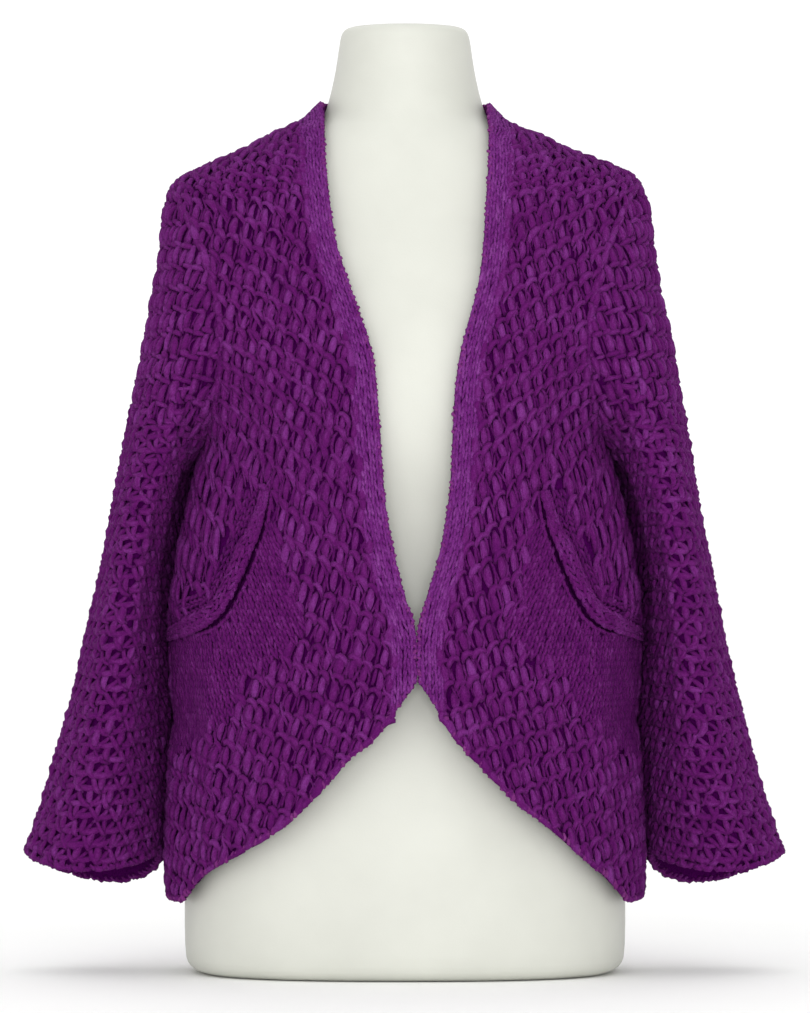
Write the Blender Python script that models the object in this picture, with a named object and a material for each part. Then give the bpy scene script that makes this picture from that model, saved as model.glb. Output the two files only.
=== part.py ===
"""Open-front knitted shrug with dolman sleeves, worn on a limbless dress form.

Metres, +Z up.  The origin is the middle of the form's base on the surface that it
stands on, and the opening of the shrug faces -Y.  Right and left are the wearer's,
so the right side lies at -X.

The cloth of the body is a stack of horizontal rings.  Each ring is a rounded
rectangle (a superellipse) that runs from the middle of the front, or of the back,
to the side seam, or to the armhole where the sleeve takes over.  A sleeve is a
stack of rings that starts at the armhole and turns until it lies level at the cuff.
Every cloth piece is a wall of knitting between an outer and an inner skin, and the
pieces lie a seam gap apart.
"""

import math

import bmesh
import bpy
import numpy as np

# ---------------------------------------------------------------- driving sizes

KNIT_THICKNESS = 0.0040         # chunky tuck-stitch knitting
BAND_THICKNESS = 0.0034         # stocking stitch is a little thinner
SEAM_GAP = 0.0003               # between pieces that are sewn together
BAND_WIDTH = 0.0195             # front band, edge to seam
CLOTH_SQUARENESS = 2.3          # exponent of the cloth's rings; 2 is an ellipse

SHOULDER_TIP = (0.187, 0.626)   # x and height where sleeve and shoulder seam meet
UNDERARM = (0.162, 0.415)       # x and height where sleeve and side seam meet
ARMHOLE_SCOOP = 0.028           # how far the armhole cuts in towards the chest
CUFF_HEIGHT = 0.0975            # of the cuff's inner and outer tips
SAG_FULLNESS = 1.3              # a cuff's droop is fuller than a cosine (2)
SEAM_EASE = 0.4                 # share of a sleeve over which the armhole's shape fades

POCKET_PANEL_THICKNESS = 0.0018
POCKET_BAND_WIDTH = 0.0125
POCKET_BAND_THICKNESS = 0.0062
LAY_ON_GAP = 0.0018             # a piece on a panel clears its facets by this

FORM_EDGE_RADIUS = 0.015        # round lower edge of the dress form
FORM_SEGMENTS = 30
RING_RADIUS = 0.15              # length of one radian of a body ring, for spacing

SIDES = {"right": -1.0, "left": 1.0}

# ---------------------------------------------------------------- section tables


class Sections:
    """A short table read as smooth curves: the first column is the place of a row."""

    def __init__(self, columns, rows):
        rows = np.array(sorted(tuple(row) for row in rows), dtype=float)
        self.place = rows[:, 0]
        self.sizes = {name: rows[:, i] for i, name in enumerate(columns)}

    def at(self, name, place):
        """A column's value at any place, along a monotone cubic with no overshoot."""
        knots, values = self.place, self.sizes[name]
        place = np.clip(np.asarray(place, dtype=float), knots[0], knots[-1])
        steps = np.diff(knots)
        slopes = np.diff(values) / steps
        tangents = np.concatenate(([slopes[0]], np.zeros(len(knots) - 2), [slopes[-1]]))
        before, after = slopes[:-1], slopes[1:]
        same_way = before * after > 0
        total = np.where(same_way, before + after, 1.0)
        tangents[1:-1] = np.where(same_way, 2.0 * before * after / total, 0.0)
        i = np.clip(np.searchsorted(knots, place) - 1, 0, len(knots) - 2)
        s = (place - knots[i]) / steps[i]
        return ((2 * s**3 - 3 * s**2 + 1) * values[i] + (s**3 - 2 * s**2 + s) * steps[i] * tangents[i]
                + (3 * s**2 - 2 * s**3) * values[i + 1] + (s**3 - s**2) * steps[i] * tangents[i + 1])


# The dress form, one row for each level section.
FORM = Sections(
    ("height", "half_width", "half_depth", "centre_y", "squareness"),
    (
        (0.000, 0.1770, 0.1300, 0.000, 2.5),
        (0.060, 0.1776, 0.1300, 0.000, 2.5),
        (0.100, 0.1755, 0.1285, 0.000, 2.4),
        (0.140, 0.1680, 0.1240, -0.001, 2.3),
        (0.190, 0.1540, 0.1170, -0.002, 2.2),
        (0.240, 0.1370, 0.1050, -0.003, 2.2),
        (0.290, 0.1280, 0.0970, -0.005, 2.2),
        (0.330, 0.1290, 0.0980, -0.007, 2.2),
        (0.380, 0.1370, 0.1060, -0.009, 2.2),
        (0.420, 0.1460, 0.1150, -0.010, 2.2),
        (0.460, 0.1570, 0.1180, -0.010, 2.2),
        (0.500, 0.1700, 0.1150, -0.007, 2.2),
        (0.530, 0.1785, 0.1100, -0.004, 2.2),
        (0.560, 0.1855, 0.1030, -0.001, 2.2),
        (0.585, 0.1880, 0.0960, 0.000, 2.2),
        (0.604, 0.1870, 0.0900, 0.000, 2.2),
        (0.617, 0.1835, 0.0850, 0.000, 2.2),
        (0.628, 0.1755, 0.0820, 0.000, 2.2),
        (0.640, 0.1560, 0.0780, 0.000, 2.2),
        (0.654, 0.1205, 0.0730, 0.000, 2.2),
        (0.664, 0.1020, 0.0700, 0.000, 2.1),
        (0.671, 0.0845, 0.0670, 0.000, 2.1),
        (0.677, 0.0710, 0.0645, 0.000, 2.0),
        (0.684, 0.0645, 0.0622, 0.000, 2.0),
        (0.696, 0.0612, 0.0602, 0.000, 2.0),
        (0.712, 0.0572, 0.0570, 0.000, 2.0),
        (0.728, 0.0544, 0.0544, 0.000, 2.0),
        (0.744, 0.0524, 0.0524, 0.000, 2.0),
        (0.750, 0.0508, 0.0508, 0.000, 2.0),
        (0.7535, 0.0470, 0.0470, 0.000, 2.0),
        (0.7550, 0.0400, 0.0400, 0.000, 2.0),
    ),
)
FORM_TOP = 0.7565

# Half width of the body's rings: the side seam up to the underarm, the chest that the
# armholes are cut into up to the shoulder tip, and then the shoulder ridge.
BODY_WIDTH = Sections(
    ("height", "half_width"),
    (
        (0.058, 0.1897),
        (0.095, 0.1914),
        (0.150, 0.1890),
        (0.178, 0.1875),
        (0.204, 0.1835),
        (0.228, 0.1868),
        (0.279, 0.1876),
        (0.309, 0.1838),
        (0.361, 0.1752),
        (0.385, 0.1692),
        (0.402, 0.1644),
        (0.415, 0.1620),
        (0.428, 0.1640),
        (0.450, 0.1702),
        (0.480, 0.1825),
        (0.520, 0.1985),
        (0.556, 0.2055),
        (0.590, 0.2010),
        (0.612, 0.1930),
        (0.626, 0.1870),
        (0.634, 0.1790),
        (0.645, 0.1600),
        (0.659, 0.1265),
        (0.668, 0.1090),
        (0.675, 0.0900),
        (0.681, 0.0795),
        (0.690, 0.0705),
        (0.6935, 0.0668),
        (0.7000, 0.0600),
    ),
)

# How deep the body hangs in front of and behind the seam plane.
BODY_DEPTH = Sections(
    ("height", "front", "back"),
    (
        (0.058, 0.1500, 0.1420),
        (0.150, 0.1490, 0.1390),
        (0.250, 0.1440, 0.1320),
        (0.350, 0.1395, 0.1240),
        (0.440, 0.1390, 0.1210),
        (0.480, 0.1370, 0.1210),
        (0.520, 0.1310, 0.1190),
        (0.560, 0.1210, 0.1150),
        (0.600, 0.1090, 0.1065),
        (0.626, 0.0985, 0.0970),
        (0.645, 0.0900, 0.0890),
        (0.664, 0.0810, 0.0800),
        (0.679, 0.0735, 0.0740),
        (0.6935, 0.0675, 0.0665),
        (0.7000, 0.0640, 0.0630),
    ),
)

# Free edge of each front, from the neck to the front tip; x grows to the left.
OPENING = Sections(
    ("height", "right", "left"),
    (
        (0.6935, -0.0668, 0.0668),
        (0.6780, -0.0652, 0.0672),
        (0.6455, -0.0630, 0.0661),
        (0.6127, -0.0595, 0.0640),
        (0.5801, -0.0545, 0.0620),
        (0.5481, -0.0444, 0.0580),
        (0.5166, -0.0338, 0.0502),
        (0.4851, -0.0243, 0.0423),
        (0.4540, -0.0214, 0.0388),
        (0.3917, -0.0170, 0.0358),
        (0.3606, -0.0137, 0.0320),
        (0.3295, -0.0073, 0.0258),
        (0.2984, 0.0008, 0.0162),
        (0.2800, 0.0073, 0.0107),
        (0.2657, 0.0088, 0.0095),
        (0.2424, 0.0093, 0.0099),
        (0.2339, 0.0082, 0.0110),
    ),
)
NECK_HEIGHT = 0.6935
FRONT_TIP_HEIGHT = 0.2339

# Cutaway lower edge of each front, from below the front tip to the side seam.
CUTAWAY = Sections(
    ("height", "right", "left"),
    (
        (0.0600, -0.1770, 0.1770),
        (0.0800, -0.1620, 0.1600),
        (0.0960, -0.1375, 0.1405),
        (0.1118, -0.1112, 0.1238),
        (0.1274, -0.0897, 0.1053),
        (0.1429, -0.0734, 0.0850),
        (0.1585, -0.0588, 0.0702),
        (0.1740, -0.0455, 0.0554),
        (0.1896, -0.0261, 0.0400),
        (0.2051, -0.0121, 0.0313),
    ),
)
HEM_HEIGHT = 0.0600
MEETING_HEIGHT = 0.2800         # where the two free edges come together
BAND_SEAM_END = 0.2051          # the band's seam meets the cutaway edge at this height
BACK_NECK_EDGE = 0.6985         # free edge of the band at the centre back

# Sleeve: outer line from shoulder tip to cuff, and inner line from underarm to cuff.
SLEEVE_OUTER = Sections(
    ("height", "right", "left"),
    (
        (0.6260, 0.1870, 0.1870),
        (0.6060, 0.1926, 0.1948),
        (0.5740, 0.1952, 0.1985),
        (0.5410, 0.2012, 0.2040),
        (0.5136, 0.2060, 0.2108),
        (0.4660, 0.2152, 0.2188),
        (0.3700, 0.2332, 0.2344),
        (0.3220, 0.2420, 0.2440),
        (0.2740, 0.2532, 0.2528),
        (0.2260, 0.2636, 0.2640),
        (0.1780, 0.2772, 0.2760),
        (0.1460, 0.2860, 0.2850),
        (0.1140, 0.2968, 0.2955),
        (0.0975, 0.3034, 0.3020),
    ),
)
SLEEVE_INNER = Sections(
    ("height", "right", "left"),
    (
        (0.4150, 0.1620, 0.1620),
        (0.3940, 0.1800, 0.1800),
        (0.3507, 0.1908, 0.1908),
        (0.3163, 0.1962, 0.1962),
        (0.2643, 0.1975, 0.1975),
        (0.1760, 0.1980, 0.1975),
        (0.0975, 0.1960, 0.1965),
    ),
)
# Depth of a sleeve ring and how it hangs between its two tips, from armhole to cuff.
# The tuck is how far its back swings in behind the body, the sag how far it drops.
SLEEVE_RING = Sections(
    ("along", "front_reach", "back_reach", "scoop", "tuck", "front_sag", "back_sag"),
    (
        (0.00, 0.0970, 0.0920, 0.028, 0.000, 0.000, 0.000),
        (0.15, 0.0885, 0.0865, 0.016, 0.010, 0.000, 0.000),
        (0.35, 0.0820, 0.0820, 0.005, 0.018, 0.000, 0.000),
        (0.60, 0.0745, 0.0760, 0.000, 0.017, 0.002, 0.004),
        (0.80, 0.0670, 0.0700, 0.000, 0.015, 0.007, 0.013),
        (0.94, 0.0620, 0.0650, 0.000, 0.014, 0.011, 0.022),
        (1.00, 0.0600, 0.0630, 0.000, 0.005, 0.013, 0.028),
    ),
)

# Slanted pocket opening and the lower outline of the pocket panel, top to side.
POCKET_LINE = ((0.1050, 0.3830), (0.1105, 0.3575), (0.1197, 0.3325), (0.1288, 0.3108),
               (0.1405, 0.2885), (0.1520, 0.2775), (0.1680, 0.2705), (0.1860, 0.2640))
POCKET_OUTLINE = ((0.1020, 0.3760), (0.0992, 0.3530), (0.0968, 0.3217), (0.0800, 0.2813),
                  (0.1007, 0.2540), (0.1241, 0.2408), (0.1390, 0.2065), (0.1860, 0.1720))

# How the worn cloth sits at the shoulders, a little higher on the left.
SETTLE = Sections(
    ("x", "rise"),
    (
        (-0.195, 0.0000),
        (-0.155, -0.0024),
        (-0.120, -0.0018),
        (-0.076, 0.0012),
        (-0.050, 0.0000),
        (0.060, 0.0000),
        (0.100, -0.0012),
        (0.135, -0.0012),
        (0.170, 0.0016),
        (0.190, 0.0040),
        (0.215, 0.0030),
    ),
)

# Soft folds of the body: a ridge (+) or trough (-) along a straight run on the cloth.
BODY_FOLDS = Sections(
    ("number", "x0", "z0", "x1", "z1", "half_width", "height"),
    (
        (0, 0.150, 0.400, 0.172, 0.300, 0.024, 0.0055),    # fullness over the pocket
        (1, 0.136, 0.480, 0.118, 0.420, 0.014, -0.0030),   # drape from the underarm
        (2, 0.170, 0.235, 0.171, 0.120, 0.012, -0.0030),   # hollow below the pocket
        (3, 0.146, 0.245, 0.152, 0.110, 0.014, 0.0035),    # fold beside it
        (4, 0.085, 0.430, 0.070, 0.330, 0.018, 0.0025),    # fullness beside the band
    ),
)
BACK_FOLDS = Sections(
    ("number", "x0", "z0", "x1", "z1", "half_width", "height"),
    (
        (0, 0.140, 0.440, 0.160, 0.180, 0.018, 0.0050),
        (1, 0.105, 0.400, 0.118, 0.120, 0.016, -0.0035),
        (2, 0.060, 0.420, 0.072, 0.100, 0.020, 0.0045),
        (3, 0.015, 0.380, 0.018, 0.120, 0.020, -0.0030),
        (4, 0.120, 0.560, 0.085, 0.470, 0.020, -0.0030),
    ),
)
# Soft folds of a sleeve, by turn round the ring in degrees and per cent of its length.
SLEEVE_FOLDS = Sections(
    ("number", "turn0", "percent0", "turn1", "percent1", "half_turn", "height"),
    (
        (0, 118, 10, 138, 62, 20, -0.0060),            # hollow in front of the underarm
        (1, 62, 30, 74, 92, 22, 0.0045),               # ridge down the front
        (2, 300, 25, 286, 90, 24, 0.0045),             # ridge down the back
        (3, 252, 14, 248, 66, 18, -0.0040),            # hollow behind the underarm
    ),
)

# ------------------------------------------------------------- body of the shrug

ARMHOLE_CENTRE = ((SHOULDER_TIP[0] + UNDERARM[0]) / 2, (SHOULDER_TIP[1] + UNDERARM[1]) / 2)
ARMHOLE_HALF = ((SHOULDER_TIP[0] - UNDERARM[0]) / 2, (SHOULDER_TIP[1] - UNDERARM[1]) / 2)


def ring_size(height, face):
    """Half width and depth of the whole ring that a row of cloth is a part of."""
    return BODY_WIDTH.at("half_width", height), BODY_DEPTH.at(face, height)


def armhole_at_height(height, face):
    """Distance out and distance from the seam plane of the armhole at a height."""
    cosine = np.clip((height - ARMHOLE_CENTRE[1]) / ARMHOLE_HALF[1], -1.0, 1.0)
    out = ARMHOLE_CENTRE[0] + ARMHOLE_HALF[0] * cosine - ARMHOLE_SCOOP * (1.0 - cosine**2)
    width, depth = ring_size(height, face)
    share = np.clip(out / width, 0.0, 1.0) ** CLOTH_SQUARENESS
    return out, depth * (1.0 - share) ** (1.0 / CLOTH_SQUARENESS)


def ring_angle(x, height, face):
    """Angle from the middle of the front or back to a signed distance x, on its ring."""
    width, _ = ring_size(height, face)
    share = np.clip(np.abs(x) / width, 0.0, 1.0) ** (CLOTH_SQUARENESS / 2)
    return np.sign(x) * np.arcsin(share)


def end_angle(height, face):
    """Angle at which a row ends: at the armhole, or else at the side seam or ridge."""
    out, _ = armhole_at_height(height, face)
    in_armhole = (height < SHOULDER_TIP[1]) & (height > UNDERARM[1])
    return np.where(in_armhole, ring_angle(out, height, face), math.pi / 2)


def ring_point(angle, height, face):
    """Point on a ring; the angle is zero in the middle and grows to the wearer's left."""
    width, depth = ring_size(height, face)
    power = 2.0 / CLOTH_SQUARENESS
    x = width * np.sign(angle) * np.abs(np.sin(angle)) ** power
    y = depth * np.abs(np.cos(angle)) ** power
    return np.stack((x, -y if face == "front" else y, height + 0.0 * x), axis=-1)


def ring_normal(points, face):
    """Outward direction of the body's surface, from the slope of its ring equation."""
    step = 0.0015
    x, y, height = np.abs(points[..., 0]), np.abs(points[..., 1]), points[..., 2]

    def ring_value(at_height):
        width, depth = ring_size(at_height, face)
        return (x / width) ** CLOTH_SQUARENESS + (y / depth) ** CLOTH_SQUARENESS

    width, depth = ring_size(height, face)
    power = CLOTH_SQUARENESS - 1.0
    slope = np.stack((
        np.sign(points[..., 0]) * CLOTH_SQUARENESS / width * (x / width) ** power,
        np.sign(points[..., 1]) * CLOTH_SQUARENESS / depth * (y / depth) ** power,
        (ring_value(height + step) - ring_value(height - step)) / (2 * step),
    ), axis=-1)
    return unit(slope)


def unit(vectors):
    """Vectors at length one."""
    return vectors / np.linalg.norm(vectors, axis=-1, keepdims=True)


def soft_step(value):
    """Zero below 0, one above 1 and a smooth rise between."""
    value = np.clip(value, 0.0, 1.0)
    return value * value * (3.0 - 2.0 * value)


def fold_height(across, along, folds, ends, spread):
    """Sum of soft ridges and troughs at places on a piece."""
    total = np.zeros(np.broadcast(across, along).shape)
    for i in range(len(folds.place)):
        a0, b0, a1, b1 = (folds.sizes[name][i] for name in ends)
        run = np.array((a1 - a0, b1 - b0))
        share = ((across - a0) * run[0] + (along - b0) * run[1]) / (run @ run)
        near = np.clip(share, 0.0, 1.0)
        apart = np.hypot(across - a0 - near * run[0], along - b0 - near * run[1])
        total = total + folds.sizes["height"][i] * np.exp(-((apart / folds.sizes[spread][i]) ** 2))
    return total


def body_relief(points, face):
    """How far the folds lift the body's cloth."""
    folds = BODY_FOLDS if face == "front" else BACK_FOLDS
    x = np.abs(points[..., 0]) + (0.008 * np.sign(points[..., 0]) if face == "back" else 0.0)
    lift = fold_height(x, points[..., 2], folds, ("x0", "z0", "x1", "z1"), "half_width")
    calm = soft_step((SHOULDER_TIP[1] - points[..., 2]) / 0.05)
    return lift * calm


def folded_body(angle, height, face):
    """Outer skin of the body and its outward direction, folds and underarm included."""
    points = ring_point(angle, height, face)
    normals = ring_normal(points, face)
    edge = end_angle(height, face)
    to_edge = soft_step((edge - np.abs(angle)) / 0.28)
    points = points + (body_relief(points, face) * to_edge)[..., None] * normals
    side = np.sign(points[..., 0])
    seam = seam_normal(height, face) * np.stack((side, np.ones_like(side), np.ones_like(side)), axis=-1)
    near_seam = (1.0 - soft_step((edge - np.abs(angle)) / 0.35)) * soft_step(
        (height - UNDERARM[1] + 0.025) / 0.025) * soft_step((SHOULDER_TIP[1] - height) / 0.002)
    normals = unit(normals * (1.0 - near_seam[..., None]) + seam * near_seam[..., None])
    return points, normals


# ----------------------------------------------------------------------- sleeves


def sleeve_point(turn, along, side):
    """Point of a sleeve's plain outer skin.

    The turn is 0 at the outer line and 90 degrees in front.  The first ring is the
    armhole, and the sleeve eases from there to rings of its own depth.
    """
    sign = SIDES[side]
    outer_z = SHOULDER_TIP[1] + (CUFF_HEIGHT - SHOULDER_TIP[1]) * along
    inner_z = UNDERARM[1] + (CUFF_HEIGHT - UNDERARM[1]) * along
    outer_x = SLEEVE_OUTER.at(side, outer_z)
    inner_x = SLEEVE_INNER.at(side, inner_z)
    cosine, sine = np.cos(turn), np.sin(turn)
    front = sine > 0
    reach = np.where(front, SLEEVE_RING.at("front_reach", along), SLEEVE_RING.at("back_reach", along))
    sag = np.where(front, SLEEVE_RING.at("front_sag", along), SLEEVE_RING.at("back_sag", along))
    tuck = SLEEVE_RING.at("tuck", along) * 2.0 * np.maximum(-sine, 0.0) * np.maximum(-cosine, 0.0)
    x = (outer_x + inner_x) / 2 + cosine * (outer_x - inner_x) / 2
    x = x - SLEEVE_RING.at("scoop", along) * sine**2 - tuck
    droop = sag * np.abs(sine) ** SAG_FULLNESS * np.where(front, 1.0, 1.0 - 0.3 * cosine)
    z = (outer_z + inner_z) / 2 + cosine * (outer_z - inner_z) / 2 - droop
    seam_height = ARMHOLE_CENTRE[1] + ARMHOLE_HALF[1] * cosine
    at_seam = np.where(front, armhole_at_height(seam_height, "front")[1],
                       armhole_at_height(seam_height, "back")[1])
    own = soft_step(along / SEAM_EASE)
    away = at_seam * (1.0 - own) + reach * np.abs(sine) * own
    return np.stack((sign * x, -np.sign(sine) * away, z), axis=-1)


def sleeve_normal(turn, along, side):
    """Outward direction of the plain sleeve, from its slopes round and along."""
    step = 0.004
    along = np.clip(along, step, 1.0 - step)
    round_it = sleeve_point(turn + step, along, side) - sleeve_point(turn - step, along, side)
    down_it = sleeve_point(turn, along + step, side) - sleeve_point(turn, along - step, side)
    return unit(np.cross(round_it, down_it) * SIDES[side])


def seam_normal(height, face):
    """Direction of the cloth's thickness along the armhole seam, for the wearer's left."""
    cosine = np.clip((height - ARMHOLE_CENTRE[1]) / ARMHOLE_HALF[1], -1.0, 1.0)
    turn = np.arccos(cosine)
    turn = turn if face == "front" else -turn
    out, away = armhole_at_height(np.clip(height, UNDERARM[1], SHOULDER_TIP[1]), face)
    place = np.stack((out, -away if face == "front" else away, height + 0.0 * out), axis=-1)
    body = ring_normal(place, face)
    sleeve = sleeve_normal(turn, np.zeros_like(turn), "left")
    return unit(body + sleeve)


def folded_sleeve(turn, along, side):
    """Outer skin of a sleeve and its outward direction, folds and armhole included."""
    points = sleeve_point(turn, along, side)
    normals = sleeve_normal(turn, along, side)
    degrees = np.degrees(turn) % 360.0
    lift = fold_height(degrees, along * 100.0, SLEEVE_FOLDS,
                       ("turn0", "percent0", "turn1", "percent1"), "half_turn")
    lift = lift * soft_step(along / 0.12)
    start = np.cos(turn) * ARMHOLE_HALF[1] + ARMHOLE_CENTRE[1]
    face_front = seam_normal(start, "front")
    face_back = seam_normal(start, "back")
    seam = np.where((np.sin(turn) > 0)[..., None], face_front, face_back)
    seam = seam * np.array((SIDES[side], 1.0, 1.0))
    near_seam = (1.0 - soft_step(along / 0.10))[..., None]
    points = points + lift[..., None] * normals
    normals = unit(normals * (1.0 - near_seam) + seam * near_seam)
    return points, normals


def settled(points):
    """Points of the cloth with the small lift or drop that they have at the shoulders."""
    share = soft_step((points[..., 2] - 0.50) / 0.12)
    lifted = points.copy()
    lifted[..., 2] += SETTLE.at("rise", points[..., 0]) * share
    return lifted


# ------------------------------------------------------------------ mesh helpers


def add_object(name, mesh, material):
    """Puts a mesh in the scene as a smooth-shaded object with its material."""
    mesh.materials.append(material)
    mesh.shade_smooth()
    part = bpy.data.objects.new(name, mesh)
    bpy.context.scene.collection.objects.link(part)
    mesh.set_sharp_from_angle(angle=math.radians(50))
    return part


def closed_wall(name, outer, inner, material, round_about=False):
    """A closed solid between two skins given as grids of points, rows by columns.

    Each square of a skin is split along its shorter diagonal.
    """
    rows, columns = outer.shape[:2]
    across = columns if round_about else columns - 1
    vertices = np.concatenate((settled(outer).reshape(-1, 3), settled(inner).reshape(-1, 3)))
    base = rows * columns

    def index(row, column, skin):
        return skin * base + row * columns + column % columns

    faces = []
    for r in range(rows - 1):
        for c in range(across):
            next_c = (c + 1) % columns
            down = np.linalg.norm(outer[r, c] - outer[r + 1, next_c])
            up = np.linalg.norm(outer[r, next_c] - outer[r + 1, c])
            corners = ((r, c), (r, c + 1), (r + 1, c + 1), (r + 1, c))
            corners = corners if down < up else corners[1:] + corners[:1]
            for third in (1, 2):
                triangle = (corners[0], corners[third], corners[third + 1])
                faces.append(tuple(index(*corner, 0) for corner in triangle))
                faces.append(tuple(index(*corner, 1) for corner in triangle[::-1]))
    for c in range(across):
        faces.append((index(0, c, 0), index(0, c, 1), index(0, c + 1, 1), index(0, c + 1, 0)))
        last = rows - 1
        faces.append((index(last, c, 1), index(last, c, 0), index(last, c + 1, 0), index(last, c + 1, 1)))
    if not round_about:
        for r in range(rows - 1):
            faces.append((index(r, 0, 1), index(r, 0, 0), index(r + 1, 0, 0), index(r + 1, 0, 1)))
            end = columns - 1
            faces.append((index(r, end, 0), index(r, end, 1), index(r + 1, end, 1), index(r + 1, end, 0)))
    mesh = bpy.data.meshes.new(name)
    mesh.from_pydata(vertices.tolist(), [], faces)
    face_out(mesh)
    return add_object(name, mesh, material)


def face_out(mesh):
    """Turns a closed mesh's faces outwards."""
    body = bmesh.new()
    body.from_mesh(mesh)
    if body.calc_volume(signed=True) < 0:
        bmesh.ops.reverse_faces(body, faces=body.faces)
    body.to_mesh(mesh)
    body.free()


def path_share(path):
    """Share of a finely drawn path's length that lies before each of its points."""
    lengths = np.concatenate(([0.0], np.cumsum(np.linalg.norm(np.diff(path, axis=0), axis=1))))
    return lengths / lengths[-1]


def even_rows(path, count):
    """Places of evenly spaced points along a finely drawn path."""
    return np.interp(np.linspace(0.0, 1.0, count), path_share(path), np.arange(len(path)))


def even_angles(first, last, height, face, count):
    """Angles of points along one row of cloth, closer together where it bends more."""
    fine = np.linspace(first, last, 160)
    points = ring_point(fine, np.full_like(fine, height), face)
    bends = ring_normal(points, face) * BEND_SPACING
    places = even_rows(np.concatenate((points, bends), axis=1), count)
    return np.interp(places, np.arange(len(fine)), fine)


# ------------------------------------------------------------------------ pieces

FRONT_COLUMNS = 14
BACK_COLUMNS = 23
BEND_SPACING = 0.06             # a turn of one radian counts as this much length
ARMHOLE_STEPS = 12
ROW_BEND = 2.4                  # how late a row bends towards its end on the armhole
SLEEVE_ROWS = 19


def body_rows(top, above, below):
    """Row heights at the row's outer end and in the middle of the panel.

    The outer ends crowd together at both ends of the armhole, as the sleeve's ring
    does, while the middles are nearly even.
    """
    upper = top - (top - SHOULDER_TIP[1]) * np.linspace(0.0, 1.0, above, endpoint=False) ** 1.2
    turns = np.linspace(0.0, math.pi, ARMHOLE_STEPS + 1)
    armhole = ARMHOLE_CENTRE[1] + ARMHOLE_HALF[1] * np.cos(turns)
    lower = np.linspace(UNDERARM[1], HEM_HEIGHT, below + 1)[1:]
    ends = np.concatenate((upper, armhole, lower))
    middles = SHOULDER_TIP[1] + (HEM_HEIGHT - SHOULDER_TIP[1]) * np.linspace(
        0.0, 1.0, ARMHOLE_STEPS + 1 + below) ** 1.15
    for kept in (BAND_SEAM_END, MEETING_HEIGHT):
        middles[np.argmin(np.abs(middles - kept))] = kept
    return ends, np.concatenate((upper, middles))


def row_of_cloth(first, last, end_height, middle_height, face, count):
    """Angles and heights of one row; it curves up or down only near its outer ends."""
    angles = even_angles(first, last, middle_height, face, count)
    outer_end = max(abs(first), abs(last))
    share = (np.abs(angles) / outer_end) ** ROW_BEND
    return angles, middle_height + (end_height - middle_height) * share


def inner_edge(height, side):
    """x of a front panel's inner boundary: the band's seam, then the cutaway edge."""
    sign = SIDES[side]
    seam = OPENING.at(side, np.maximum(height, FRONT_TIP_HEIGHT)) + sign * (BAND_WIDTH + 2 * SEAM_GAP)
    cut = CUTAWAY.at(side, height)
    return np.where(height >= BAND_SEAM_END, seam, cut)


def seam_top():
    """Height at which the bands' seams reach the shoulder ridge."""
    heights = np.linspace(SHOULDER_TIP[1], NECK_HEIGHT, 400)
    ridge = BODY_WIDTH.at("half_width", heights)
    seam = np.maximum(-OPENING.at("right", heights), OPENING.at("left", heights)) + BAND_WIDTH
    return float(heights[np.argmin(np.abs(ridge - seam))])


def hold_off_seam(points, face):
    """Moves the row ends on the seam plane back by half a seam gap."""
    away = -1.0 if face == "front" else 1.0
    points[..., 1] = np.where(np.abs(points[..., 1]) < SEAM_GAP / 2, away * SEAM_GAP / 2, points[..., 1])
    return points


def front_grid(side):
    """Angles and heights of a front's grid of points."""
    sign = SIDES[side]
    grid = []
    for end, middle in zip(*body_rows(seam_top() - 0.0012, 6, 15)):
        first = float(ring_angle(inner_edge(middle, side), middle, "front"))
        last = sign * (float(end_angle(end, "front")) - 0.0010)
        grid.append(row_of_cloth(first, last, end, middle, "front", FRONT_COLUMNS))
    return np.array([row[0] for row in grid]), np.array([row[1] for row in grid])


def front_panel(side, material):
    """One front, from the shoulder seam to the cutaway hem."""
    outer, normals = folded_body(*front_grid(side), "front")
    inner = outer - KNIT_THICKNESS * normals
    return closed_wall("front_" + side, hold_off_seam(outer, "front"), hold_off_seam(inner, "front"), material)


def back_panel(material):
    """The back, from the neck and shoulder seams to the hem."""
    grid = []
    for end, middle in zip(*body_rows(seam_top() - SEAM_GAP, 6, 13)):
        last = float(end_angle(end, "back")) - 0.0010
        grid.append(row_of_cloth(-last, last, end, middle, "back", BACK_COLUMNS))
    angles, levels = np.array([row[0] for row in grid]), np.array([row[1] for row in grid])
    outer, normals = folded_body(angles, levels, "back")
    inner = outer - KNIT_THICKNESS * normals
    return closed_wall("back", hold_off_seam(outer, "back"), hold_off_seam(inner, "back"), material)


def sleeve(side, material):
    """One dolman sleeve, an open tube from the armhole to the cuff."""
    count = 2 * ARMHOLE_STEPS
    turns = np.linspace(0.0, 2.0 * math.pi, count, endpoint=False)
    along = np.linspace(0.0, 1.0, SLEEVE_ROWS) ** 1.05
    along[0] = 0.0016
    turn_grid, along_grid = np.meshgrid(turns, along)
    outer, normals = folded_sleeve(turn_grid, along_grid, side)
    inner = outer - KNIT_THICKNESS * normals
    return closed_wall("sleeve_" + side, outer, inner, material, round_about=True)


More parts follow.
